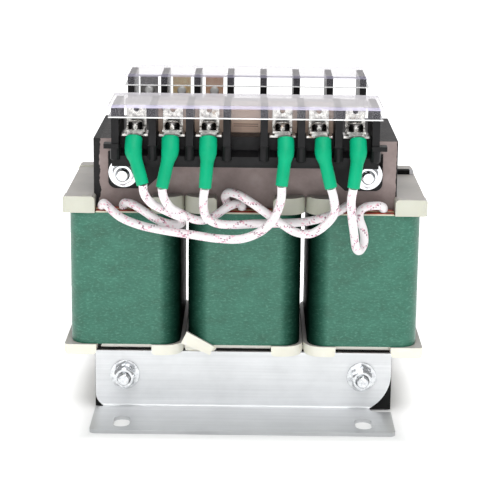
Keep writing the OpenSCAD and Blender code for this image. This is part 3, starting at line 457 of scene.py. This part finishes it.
def bobbin_material():
    """Cream nylon, painted a little darker on the upper flanges and darker still on the faces that look up,
    both as shade.
    """
    mat, tree, bsdf = new_material("bobbin", Roughness=0.42, IOR=1.5)
    at = place(tree)
    tint = noise(tree, at, 35, 4)
    colour = ramp(tree, tint, [(0.3, linear(232, 230, 216)), (0.7, linear(244, 243, 231))])
    # Painted shade: the upper flanges are painted darker than the lower ones
    shaded_upper = ramp(tree, tint, [(0.3, linear(194, 194, 180)), (0.7, linear(207, 208, 194))])
    upper = math_node(tree, "GREATER_THAN", axis(tree, at, "Z"), SHADED_FROM)
    colour = blend(tree, upper, colour, shaded_upper)
    # Painted shade: faces that look up are painted darker
    shaded_top = ramp(tree, tint, [(0.3, linear(174, 170, 165)), (0.7, linear(192, 187, 182))])
    paint(tree, bsdf, blend(tree, math_node(tree, "GREATER_THAN", facing(tree, "Z"), LOOKS), colour, shaded_top))
    bump(tree, bsdf, noise(tree, at, 500, 3), 0.0002, 0.25)
    bsdf.inputs["Subsurface Weight"].default_value = 0.15
    bsdf.inputs["Subsurface Radius"].default_value = (0.004, 0.0035, 0.002)
    bsdf.inputs["Subsurface Scale"].default_value = 0.5
    return mat


def plastic(name, dark, light, roughness):
    """Black moulded plastic, sheet or paint, with a faint texture."""
    mat, tree, bsdf = new_material(name, IOR=1.5, **{"Specular IOR Level": 0.22})
    at = place(tree)
    paint(tree, bsdf, ramp(tree, noise(tree, at, 90, 4), [(0.3, dark), (0.7, light)]))
    spots = noise(tree, at, 260, 3)
    polish(tree, bsdf, ramp(tree, spots, [(0.3, roughness - 0.06), (0.7, roughness + 0.06)]))
    bump(tree, bsdf, noise(tree, at, 700, 3), 0.00012, 0.4)
    return mat, tree, bsdf


def block_material():
    """Black phenolic, with the dimple near each barrier's top in shadow."""
    mat, tree, bsdf = plastic("block", linear(8, 8, 9), linear(24, 23, 25), 0.42)
    at = place(tree)
    place_on = math_node(tree, "MULTIPLY_ADD", axis(tree, at, "X"), 1 / TERMINAL_PITCH, 0.5)
    beside = math_node(tree, "MULTIPLY", math_node(tree, "PINGPONG", place_on, 0.5), TERMINAL_PITCH)
    dimple_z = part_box("terminal_block_front")[1].z - DIMPLE_DROP
    above = math_node(tree, "SUBTRACT", axis(tree, at, "Z"), dimple_z)
    off = math_node(tree, "SQRT", math_node(tree, "ADD", math_node(tree, "MULTIPLY", beside, beside),
                                            math_node(tree, "MULTIPLY", above, above)))
    dimple = math_node(tree, "LESS_THAN", off, DIMPLE_D / 2)
    colour = bsdf.inputs["Base Color"].links[0].from_socket
    paint(tree, bsdf, blend(tree, dimple, colour, linear(1, 1, 1)))
    return mat


def foot_material():
    """Zinc-plated sheet: fine brush lines, clouds, and painted shade on the foot, darker toward its outer
    edge.
    """
    mat, tree, bsdf = new_material("foot", Metallic=0.5)
    at = place(tree)
    lines = noise(tree, stretched(tree, at, (10, 500, 500)), 1, 4)
    clouds = noise(tree, at, 22, 5, 0.6)
    shade = math_node(tree, "MULTIPLY_ADD", lines, 0.35, math_node(tree, "MULTIPLY", clouds, 0.65))
    colour = ramp(tree, shade, [(0.35, linear(214, 216, 218)), (0.62, linear(236, 238, 240))])
    # Painted shade: the flat foot darkens toward its outer edge, away from the bend
    out = math_node(tree, "ABSOLUTE", axis(tree, at, "Y"))
    outward_shade = ramp(tree, math_node(tree, "MULTIPLY", out, 10.0), [(0.52, 0.95), (0.6, 0.84), (0.97, 0.66)])
    is_foot = math_node(tree, "LESS_THAN", axis(tree, at, "Z"), FLAT_FOOT)
    paint(tree, bsdf, blend(tree, is_foot, colour, blend(tree, 1.0, colour, outward_shade, "MULTIPLY")))
    polish(tree, bsdf, ramp(tree, clouds, [(0.35, 0.29), (0.7, 0.42)]))
    bump(tree, bsdf, lines, 0.00005, 0.25)
    return mat


def plated(name, dark, light, roughness, metallic=1.0, spot=None):
    """Plated metal with small stains."""
    mat, tree, bsdf = new_material(name, Metallic=metallic)
    at = place(tree)
    stain = noise(tree, at, 420, 5, 0.65)
    colour = ramp(tree, stain, [(0.32, dark), (0.6, light)])
    if spot is not None:
        spots = ramp(tree, noise(tree, at, 160, 5, 0.7), [(0.58, 0.0), (0.66, 0.7)])
        colour = blend(tree, spots, colour, spot)
    paint(tree, bsdf, colour)
    polish(tree, bsdf, ramp(tree, stain, [(0.3, roughness + 0.1), (0.65, roughness)]))
    bump(tree, bsdf, stain, 0.00002, 0.2)
    return mat


def wire_material():
    """Red-brown enamelled wire."""
    mat, tree, bsdf = new_material("enamelled_wire", Metallic=0.3, Roughness=0.32, IOR=1.5)
    at = place(tree)
    paint(tree, bsdf, ramp(tree, noise(tree, at, 240, 4), [
        (0.3, linear(84, 22, 18)), (0.55, linear(148, 50, 34)), (0.75, linear(188, 82, 50))]))
    bump(tree, bsdf, noise(tree, at, 900, 2), 0.0001, 0.4)
    return mat


def cover_material():
    """Moulded plastic: milky roof with lavender edges painted as piped light, clearer at the rear, clear
    sides and a rim painted white as a highlight.
    """
    mat, tree, bsdf = new_material("cover", IOR=1.49)
    at = place(tree)
    height = axis(tree, at, "Z")
    low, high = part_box("terminal_cover_front")
    milky = math_node(tree, "GREATER_THAN", height, high.z - ROOF_DEEP)
    # Painted highlight: the bottom rim is white and nearly solid, as a lit edge of the clear plastic
    rim_highlight = math_node(tree, "LESS_THAN", height, low.z + HIGHLIGHT_RIM_DEEP)
    tint = ramp(tree, noise(tree, at, 30, 3), [(0.3, linear(226, 222, 236)), (0.7, linear(238, 235, 246))])
    # Painted light: the roof's upright edges are lavender, standing in for light piped along the plastic
    upright = math_node(tree, "GREATER_THAN", math_node(tree, "ABSOLUTE", facing(tree, "Y")), PIPED_LIGHT_LOOKS)
    edge = math_node(tree, "MULTIPLY", milky, upright)
    colour = blend(tree, edge, blend(tree, milky, tint, linear(244, 240, 243)), linear(222, 217, 243))
    paint(tree, bsdf, blend(tree, rim_highlight, colour, linear(255, 255, 255)))
    clouds = ramp(tree, noise(tree, at, 24, 4), [(0.35, 0.52), (0.7, 0.64)])
    rear = math_node(tree, "GREATER_THAN", axis(tree, at, "Y"), 0.0)
    clouds = blend(tree, rear, clouds, grey(0.35))
    solid = blend(tree, milky, grey(0.05), clouds)
    tree.links.new(blend(tree, rim_highlight, solid, grey(0.85)), bsdf.inputs["Alpha"])
    polish(tree, bsdf, blend(tree, milky, grey(0.08), grey(0.3)))
    bump(tree, bsdf, noise(tree, at, 70, 2), 0.0004, 0.1)
    return mat


def sleeve_material():
    """Plain green heat-shrink, without the photo's print."""
    mat, tree, bsdf = new_material("heat_sleeve", IOR=1.5, **{"Specular IOR Level": 0.2})
    at = place(tree)
    tint = noise(tree, at, 70, 4)
    paint(tree, bsdf, ramp(tree, tint, [(0.3, linear(0, 158, 111)), (0.7, linear(1, 173, 124))]))
    polish(tree, bsdf, ramp(tree, noise(tree, at, 150, 3), [(0.3, 0.4), (0.7, 0.55)]))
    bump(tree, bsdf, noise(tree, stretched(tree, at, (160, 160, 420)), 1, 3), 0.0004, 0.3)
    return mat


def braid_material():
    """Woven sleeve: its strands' tint is stored on the mesh, where pink and dark tracer threads come up."""
    mat, tree, bsdf = new_material("lead_braid", Roughness=0.75,
                                   **{"Sheen Weight": 0.3, "Sheen Roughness": 0.4})
    at = place(tree)
    tint = add(tree, "ShaderNodeAttribute", attribute_name="strand_tint").outputs["Color"]
    fibre = noise(tree, at, 1600, 3)
    paint(tree, bsdf, blend(tree, math_node(tree, "MULTIPLY", fibre, 0.16), tint, linear(196, 182, 188)))
    bump(tree, bsdf, fibre, 0.0001, 0.35)
    return mat


def wedge_material():
    """Black, with a light grey outer end."""
    mat, tree, bsdf = new_material("wedge", Roughness=0.6, **{"Specular IOR Level": 0.08})
    at = place(tree)
    end = math_node(tree, "GREATER_THAN", axis(tree, at, "X"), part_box("flange_wedge")[1].x - GREY_END)
    rough = noise(tree, at, 500, 4)
    black = ramp(tree, rough, [(0.3, linear(8, 7, 7)), (0.7, linear(20, 18, 18))])
    paint(tree, bsdf, blend(tree, end, black, linear(186, 186, 188)))
    bump(tree, bsdf, rough, 0.0002, 0.5)
    return mat


def backing_material():
    """Tan laminate with two thin brown scratches across its middle, at the free place."""
    mat, tree, bsdf = new_material("backing", Roughness=0.5, IOR=1.5)
    at = place(tree)
    grain = noise(tree, stretched(tree, at, (60, 60, 700)), 1, 4)
    colour = ramp(tree, grain, [(0.3, linear(238, 204, 182)), (0.7, linear(250, 222, 202))])
    middle = math_node(tree, "LESS_THAN", math_node(tree, "ABSOLUTE", axis(tree, at, "X")), SCRATCH_HALF)
    for height in SCRATCHES:
        off = math_node(tree, "ABSOLUTE", math_node(tree, "SUBTRACT", axis(tree, at, "Z"), height))
        scratch = math_node(tree, "MULTIPLY", math_node(tree, "LESS_THAN", off, SCRATCH_W / 2), middle)
        colour = blend(tree, scratch, colour, linear(150, 104, 84))
    paint(tree, bsdf, colour)
    bump(tree, bsdf, grain, 0.0001, 0.4)
    return mat


def paper_material():
    """Tan insulation paper."""
    mat, tree, bsdf = new_material("paper", Roughness=0.7)
    at = place(tree)
    grain = noise(tree, at, 380, 4)
    paint(tree, bsdf, ramp(tree, grain, [(0.3, linear(176, 150, 112)), (0.7, linear(208, 186, 150))]))
    bump(tree, bsdf, grain, 0.0001, 0.4)
    return mat


MATERIALS = {
    "core": core_material(),
    "tape": tape_material(),
    "bobbin": bobbin_material(),
    "enamelled_wire": wire_material(),
    "paper": paper_material(),
    "foot": foot_material(),
    "liner": plastic("liner", linear(6, 6, 6), linear(14, 14, 15), 0.6)[0],
    "bracket": plastic("bracket", linear(6, 6, 7), linear(14, 14, 15), 0.4)[0],
    "fastener": plated("fastener", linear(190, 192, 196), linear(226, 228, 230), 0.1),
    "block": block_material(),
    "cover": cover_material(),
    "nickel": plated("nickel", linear(146, 144, 142), linear(210, 208, 204), 0.2, 1.0, linear(136, 112, 86)),
    "dark_strip": plated("dark_strip", linear(112, 110, 108), linear(150, 148, 146), 0.4, 0.1),
    "brass_strip": plated("brass_strip", linear(252, 214, 160), linear(255, 234, 190), 0.3, 0.1),
    "copper_strip": plated("copper_strip", linear(240, 184, 146), linear(252, 212, 182), 0.3, 0.1),
    "white_head": plated("white_head", linear(236, 236, 234), linear(252, 252, 250), 0.3, 0.2),
    "backing": backing_material(),
    "tinned": plated("tinned", linear(170, 170, 170), linear(224, 224, 222), 0.3),
    "heat_sleeve": sleeve_material(),
    "lead_braid": braid_material(),
    "wedge": wedge_material(),
}


for entry in frame["record"]["subparts"]:
    dress(frame["nodes"][entry["node"]], entry["material_slot"])


# Leads: a woven sleeve with raised strands, tracers among them. Shares are of a strand's crossings

BRAID_SIDES = 48
BRAID_STEP = 0.0004
STRANDS = 16
STRAND_PITCH = 0.0016
STRAND_RELIEF = 0.00012
WHITE = linear(247, 242, 244)
PINK = linear(240, 184, 200)
DARK = linear(138, 84, 108)
TRACERS = (0, 1)
TRACER_SHIFT = 5
DARK_SHARE, COLOURED_SHARE, STRAY_SHARE = 0.4, 0.8, 0.05
BRAID_SHARP_DEGREES = 80

SLEEVE_STEP = 0.0008
SLEEVE_SIDES = 28
SLEEVE_SHARP_DEGREES = 60
WRINKLE = 0.00007
WRINKLE_TURN = 2100
OVAL = 0.04
# Rings past a sleeve's ends: inset, and change of radius. The last ring lies close on the lead
START_LIP = ((-0.0003, -0.0003), (-0.0004, -0.0008), (0.0012, -0.0009))
END_LIP = ((-0.0002, -0.0002), (-0.0003, -0.0005))
LAST_RING = (0.0003, LEAD_D / 2 + 0.00003)


def crossing(angle, run):
    """Where a place lies among the strands of both directions, and whether the first direction is on top."""
    turn = angle / (2 * math.pi) * STRANDS
    a, b = turn + run / STRAND_PITCH, turn - run / STRAND_PITCH
    return a, b, (math.floor(a) + math.floor(b)) % 2 == 0


def strand_height(angle, run):
    """Height of the braid from 0 to 1."""
    a, b, first_on_top = crossing(angle, run)
    return math.sin(math.pi * ((a if first_on_top else b) % 1.0))


def strand_tint(number, angle, run):
    """White, or pink or dark where a tracer thread comes up, with a stray pink one here and there."""
    a, b, first_on_top = crossing(angle, run)
    a, b = math.floor(a), math.floor(b)
    chance = random.Random(1000003 * a + 1009 * b + number).random()
    tracer = ((a if first_on_top else b + TRACER_SHIFT) + number) % STRANDS in TRACERS
    if tracer and chance < DARK_SHARE:
        return DARK
    if tracer and chance < COLOURED_SHARE or chance < STRAY_SHARE:
        return PINK
    return WHITE


def make_lead(number):
    """A lead's piece, and the line along its middle."""
    name = "lead_%d_braid" % number
    line = smooth(LEAD_ROUTES[number], BRAID_STEP)
    bm = bmesh.new()

    def radius(angle, run):
        return LEAD_D / 2 + STRAND_RELIEF * (strand_height(angle, run) - 1)

    runs = sweep(bm, line, radius, BRAID_SIDES)
    tints = [strand_tint(number, 2 * math.pi * j / BRAID_SIDES, run)
             for run in runs for j in range(BRAID_SIDES)]
    mesh = finish_mesh(name, bm, BRAID_SHARP_DEGREES)
    layer = mesh.color_attributes.new("strand_tint", "FLOAT_COLOR", "POINT")
    layer.data.foreach_set("color", [c for tint in tints for c in tint])
    return new_piece(name, mesh, "lead_braid", "lead_%d" % number), line


def make_sleeve(number, end):
    """Shrunk sleeve over the lug's barrel and the lead's start, with a lip at both ends."""
    a = Vector(((number - MIDDLE_PLACE) * TERMINAL_PITCH + BARREL_SHIFT[number], *SLEEVE_START))
    b = a + BARREL_WAY
    sag = Vector((0, -SLEEVE_SAG, 0))
    stops = [a, b, b + (end - b) / 3 + sag, b + (end - b) * 2 / 3 + sag, end]
    line = smooth(stops, SLEEVE_STEP)
    marks = [line_length(stops[:k + 1]) / line_length(stops) for k in range(len(stops))]
    total = line_length(line)

    def radius(angle, run):
        share = min(run / total, 1.0)
        k = max(n for n in range(len(marks) - 1) if share >= marks[n])
        t = (share - marks[k]) / (marks[k + 1] - marks[k])
        t = t * t * (3 - 2 * t)
        base = SLEEVE_RADII[k] + (SLEEVE_RADII[k + 1] - SLEEVE_RADII[k]) * t
        wrinkle = WRINKLE * math.sin(run * WRINKLE_TURN + number) * math.sin(3 * angle + number)
        return base * (1 + OVAL * (1 - share) * math.cos(2 * angle + number)) + wrinkle

    start_lip = [(inset, SLEEVE_RADII[0] + change) for inset, change in START_LIP]
    end_lip = [(inset, SLEEVE_RADII[-1] + change) for inset, change in END_LIP] + [LAST_RING]
    bm = bmesh.new()
    sweep(bm, line, radius, SLEEVE_SIDES, (start_lip, end_lip))
    mesh = finish_mesh("sleeve_%d" % number, bm, SLEEVE_SHARP_DEGREES)
    return new_piece("sleeve_%d_shrunk" % number, mesh, "heat_sleeve", "heat_sleeve_%d" % number)


for number in LEAD_ROUTES:
    braid, line = make_lead(number)
    sleeve = make_sleeve(number, line[0])


# Softened copies of the CAD nodes whose shape is right: how wide their rounded edges are, in millimetres

SOFT_EDGES = {
    "core_e_stack": 0.25, "core_i_stack": 0.25,
    "bobbin_left": 0.35, "bobbin_middle": 0.35, "bobbin_right": 0.35,
    "foot_bracket_front": 0.3, "foot_bracket_rear": 0.3,
    "terminal_bracket_front": 0.3, "terminal_bracket_rear": 0.3,
    "terminal_block_front": 0.3, "terminal_block_rear": 0.3,
    "terminal_cover_front": 0.3, "terminal_cover_rear": 0.3,
    "terminal_strips_front": 0.15, "terminal_strip_dark": 0.15, "terminal_strip_brass": 0.15,
    "terminal_strip_copper": 0.15, "square_washers": 0.2, "flat_washers": 0.2, "spring_washers": 0.15,
    "clamp_screws": 0.12, "riser_screws": 0.1, "block_screws": 0.1, "cable_lugs": 0.15, "flange_wedge": 0.3,
}
slot_of = {entry["node"]: entry["material_slot"] for entry in frame["record"]["subparts"]}
for node, width in SOFT_EDGES.items():
    softened(node, slot_of[node], width * MM)


# Coils: turns of wire at the ends of each winding, crowns of turns in the flanges' notches, tape round all.
# A crown has rounded ends along X, and the tape has a small step at each lap and a rounded edge

COIL_ROUND = 0.012
COIL_SHARP_DEGREES = 50
TAPE_T = 0.0012
WIND_ROUND = COIL_ROUND / 3
TUBE_X, TUBE_Y = 0.0224, 0.0484
BORE_ROUND = 0.0002
CROWN_HALF = 0.0182
CROWN_END = 0.0008
CROWN_END_STEPS = 4
LAYERS = 3
STEPS = 6
TURN_RELIEF = 0.0006
TAPE_ROWS = 64
TAPE_LAP = 0.0185
LAP_STEP = 0.00012
TAPE_EDGE, TAPE_EDGE_DROP = 0.0006, 0.0004


def ridge(t, height):
    """How far a row of round turns lies below its crest, at t turns along the row."""
    return height * (1 - math.sqrt(max(0.0, 1 - (2 * (t % 1.0) - 1) ** 2)))


def add_crown(bm, middle, inner_y, outer_y, top, turns):
    """Turns of wire along X that stand up in the front and rear notches, between two distances."""
    count = turns * STEPS
    turn = (outer_y - inner_y) / turns
    left_end = [-CROWN_HALF + CROWN_END * k / CROWN_END_STEPS for k in range(CROWN_END_STEPS + 1)]
    section = [(inner_y + (outer_y - inner_y) * k / count, ridge(k / STEPS, turn / 2))
               for k in range(1, count)]
    section = [(inner_y, turn / 2)] + section + [(outer_y, turn / 2)]
    for way in (-1, 1):
        rows = []
        for x in left_end + [-x for x in reversed(left_end)]:
            near_end = min(1.0, (CROWN_HALF - abs(x)) / CROWN_END)
            drop = CROWN_END * (1 - math.sqrt(max(0.0, 1 - (1 - near_end) ** 2)))
            outline = [(y, top - drop - low) for y, low in section]
            outline = [(inner_y, COIL_HIGH - TAPE_T)] + outline + [(outer_y, COIL_HIGH - TAPE_T)]
            rows.append([Vector((middle + x, way * y, z)) for y, z in outline])
        grid(bm, rows, False)


def make_layers(name, slot, node, profile, inner, outer, middle, reach, turns):
    """A ring between two outlines, its section a closed profile, with crowns of turns along its reach."""
    bm = bmesh.new()
    grid(bm, lathe_outline(inner, outer, profile), True)
    add_crown(bm, middle, *reach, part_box(node)[1].z, turns)
    new_piece(name, finish_mesh(name, bm, COIL_SHARP_DEGREES), slot, node)


def winding_profile(bottom_z):
    """The round tops of a winding's turns at both of its ends."""
    count = LAYERS * STEPS
    top = [(k / count, COIL_HIGH - ridge(k / STEPS, TURN_RELIEF)) for k in range(count + 1)]
    return top + [(share, bottom_z + COIL_HIGH - z) for share, z in reversed(top)]


def tape_profile(bottom_z):
    """Slight steps where one turn of tape laps the next, and round ends."""
    profile = []
    for k in range(TAPE_ROWS + 1):
        z = bottom_z + (COIL_HIGH - bottom_z) * k / TAPE_ROWS
        near_end = min(z - bottom_z, COIL_HIGH - z)
        step = LAP_STEP * (((z - bottom_z) / TAPE_LAP) % 1.0)
        rounding = TAPE_EDGE_DROP * max(0.0, 1 - near_end / TAPE_EDGE)
        profile.append((1 - (step + rounding) / TAPE_T, z))
    return profile + [(0.0, COIL_HIGH), (0.0, bottom_z)]


def make_coil(side):
    """A coil's two windings and its tape, round the outlines that the CAD nodes' boxes give."""
    inner, paper, outer, tape = (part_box(kind + side) for kind in (
        "inner_winding_", "winding_paper_", "outer_winding_", "tape_wrap_"))
    middle = (inner[0].x + inner[1].x) / 2

    def outline(box, r):
        return rounded_outline(box[0].x, box[1].x, box[1].y, r)

    bore = rounded_outline(middle - TUBE_X, middle + TUBE_X, TUBE_Y, BORE_ROUND)
    wound = outline(inner, WIND_ROUND)
    papered = outline(paper, WIND_ROUND + paper[1].y - inner[1].y)
    overwound = outline(outer, COIL_ROUND - TAPE_T)
    taped = outline(tape, COIL_ROUND)
    make_layers("inner_turns_" + side, "enamelled_wire", "inner_winding_" + side,
                winding_profile(inner[0].z), bore, wound, middle, (TUBE_Y, inner[1].y), LAYERS)
    make_layers("outer_turns_" + side, "enamelled_wire", "outer_winding_" + side,
                winding_profile(outer[0].z), papered, overwound, middle, (paper[1].y, outer[1].y), LAYERS)
    make_layers("tape_%s_layers" % side, "tape", "tape_wrap_" + side,
                tape_profile(tape[0].z), overwound, taped, middle, (outer[1].y, tape[1].y), 1)


for side in ("left", "middle", "right"):
    make_coil(side)


# Clamp bolts with threads, chamfered heads and nuts

BOLT_ROWS = ("upper", "lower")
BOLT_D = 0.008
BOLT_SIDES = 24
SHANK_R = BOLT_D / 2 * 0.985
THREAD_LONG = 0.016
THREAD_PITCH = 0.00125
THREAD_DEPTH = 0.0006
THREAD_STEP = 0.00025
HEAD_HIGH = 0.0053
NUT_HIGH = 0.0065
NUT_FLATS = 0.013
NUT_BORE = BOLT_D + 0.0002
TIP_OUT = 0.004
BORE_CHAMFER = 0.0006
HEX_STEPS = 48
CHAMFER_DEGREES = 28
CHAMFER_START = 0.94
BOLT_SHARP_DEGREES = 28


def hex_radius(angle):
    """Radius of a hexagon with a point up, at an angle."""
    turn = (angle - math.radians(30)) % math.radians(60)
    return NUT_FLATS / 2 / math.cos(turn - math.radians(30))


def circle(x, z, y, r, steps):
    """Points round a bolt's axis."""
    return [Vector((x + r * math.cos(a), y, z + r * math.sin(a)))
            for a in (2 * math.pi * k / steps for k in range(steps))]


def add_hex(bm, x, z, y0, y1, bore=0.0):
    """A hexagon from y0 to y1 with chamfers at both ends, and a countersunk bore if it is a nut."""
    flat_r = NUT_FLATS / 2 * CHAMFER_START
    slope = math.tan(math.radians(CHAMFER_DEGREES))
    way = 1 if y1 > y0 else -1

    def ring(y, r):
        return circle(x, z, y, r, HEX_STEPS)

    def chamfered(y, inward):
        points = []
        for k in range(HEX_STEPS):
            a = 2 * math.pi * k / HEX_STEPS
            r = hex_radius(a)
            rise = inward * (r - flat_r) * slope
            points.append(Vector((x + r * math.cos(a), y + rise, z + r * math.sin(a))))
        return points

    rows = [ring(y0, flat_r), chamfered(y0, way), chamfered(y1, -way), ring(y1, flat_r)]
    if bore:
        rows += [ring(y1, bore / 2 + BORE_CHAMFER), ring(y1 - way * BORE_CHAMFER, bore / 2),
                 ring(y0 + way * BORE_CHAMFER, bore / 2), ring(y0, bore / 2 + BORE_CHAMFER)]
    grid(bm, rows, bool(bore))


def add_thread(bm, x, z, y0, y1):
    """A threaded rod from y0 to its tip at y1, with a chamfered end."""
    way = 1 if y1 > y0 else -1
    steps = round(abs(y1 - y0) / THREAD_STEP)
    rows = []
    for k in range(steps + 1):
        y = y0 + (y1 - y0) * k / steps
        left = abs(y1 - y)
        row = []
        for j in range(BOLT_SIDES):
            angle = 2 * math.pi * j / BOLT_SIDES
            wave = abs(((y * way / THREAD_PITCH - j / BOLT_SIDES) % 1.0) * 2 - 1)
            r = BOLT_D / 2 - THREAD_DEPTH * wave
            r = min(r, BOLT_D / 2 - THREAD_DEPTH + left)
            row.append(Vector((x + r * math.cos(angle), y, z + r * math.sin(angle))))
        rows.append(row)
    grid(bm, rows, False)


def bolt_box(row):
    """Height of a row of bolts, and the Y of their tips and of their heads' ends."""
    low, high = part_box("clamp_bolts_" + row)
    return (low.z + high.z) / 2, low.y, high.y


def make_bolts(row):
    """The two clamp bolts of a row: head at the rear, smooth shank, and a threaded tip at the front."""
    z, tip, end = bolt_box(row)
    thread_from = tip + THREAD_LONG
    head = end - HEAD_HIGH
    bm = bmesh.new()
    for x in (-COIL_PITCH, COIL_PITCH):
        add_thread(bm, x, z, thread_from, tip)
        add_hex(bm, x, z, head, end)
        grid(bm, [circle(x, z, y, SHANK_R, BOLT_SIDES) for y in (thread_from, head)], False)
    mesh = finish_mesh("bolts_" + row, bm, BOLT_SHARP_DEGREES)
    new_piece("clamp_bolts_%s_threaded" % row, mesh, "fastener", "clamp_bolts_" + row)


def make_nuts():
    bm = bmesh.new()
    for row in BOLT_ROWS:
        z, tip = bolt_box(row)[:2]
        for x in (-COIL_PITCH, COIL_PITCH):
            add_hex(bm, x, z, tip + TIP_OUT + NUT_HIGH, tip + TIP_OUT, NUT_BORE)
    new_piece("clamp_nuts_chamfered", finish_mesh("nuts", bm, BOLT_SHARP_DEGREES), "fastener", "clamp_nuts")


for row in BOLT_ROWS:
    make_bolts(row)
make_nuts()


# Stage: a pale floor that glows less under the part as painted shade, soft lights, and a surround that is
# lighter behind

FOOTPRINT = 0.1


def make_floor():
    """A white floor that glows away from the part, so that only the part's own shadow is seen on it; under
    and round the part the glow is dimmed as painted shade.
    """
    bm = bmesh.new()
    bmesh.ops.create_grid(bm, x_segments=1, y_segments=1, size=6)
    floor = bpy.data.objects.new("floor", finish_mesh("floor", bm))
    bpy.context.scene.collection.objects.link(floor)
    mat, tree, bsdf = new_material("floor", Roughness=0.9, **{
        "Base Color": (0.9, 0.9, 0.9, 1), "Specular IOR Level": 0.0, "Emission Color": (1, 1, 1, 1)})
    at = place(tree)
    beside, before = (math_node(tree, "ABSOLUTE", axis(tree, at, name)) for name in "XY")
    away = math_node(tree, "SUBTRACT", math_node(tree, "MAXIMUM", beside, before), FOOTPRINT)
    # Painted shade: the glow is dimmed in and round the part's footprint
    glow = ramp(tree, away, [(0.0, 0.05), (0.02, 0.5), (0.2, 0.9)])
    tree.links.new(glow, bsdf.inputs["Emission Strength"])
    floor.data.materials.append(mat)


def add_softbox(name, place_at, aim, size, power):
    data = bpy.data.lights.new(name, "AREA")
    data.shape = "RECTANGLE"
    data.size, data.size_y = size
    data.energy = power
    light = bpy.data.objects.new(name, data)
    light.location = place_at
    light.rotation_euler = (Vector(aim) - Vector(place_at)).to_track_quat("-Z", "Y").to_euler()
    bpy.context.scene.collection.objects.link(light)


def make_world():
    """White all round, lighter toward the rear."""
    world = bpy.data.worlds.new("world")
    world.use_nodes = True
    tree = world.node_tree
    way = add(tree, "ShaderNodeTexCoord").outputs["Generated"]
    rearward = math_node(tree, "MULTIPLY_ADD", axis(tree, way, "Y"), 0.5, 0.5)
    light = ramp(tree, rearward, [(0.0, 0.42), (0.5, 0.45), (1.0, 0.75)])
    tree.links.new(light, tree.nodes["Background"].inputs["Color"])
    tree.nodes["Background"].inputs["Strength"].default_value = 1.0
    bpy.context.scene.world = world


make_floor()
add_softbox("low_softbox", (-0.1, -2.2, 0.55), (0, 0, 0.1), (1.0, 0.6), 5)
add_softbox("front_softbox", (-0.25, -2.0, 1.35), (0, 0, 0.1), (1.0, 0.7), 5)
add_softbox("top_softbox", (0.1, -0.75, 1.7), (0, 0, 0.1), (1.2, 1.0), 15)
make_world()
bpy.context.scene.view_settings.view_transform = "Standard"
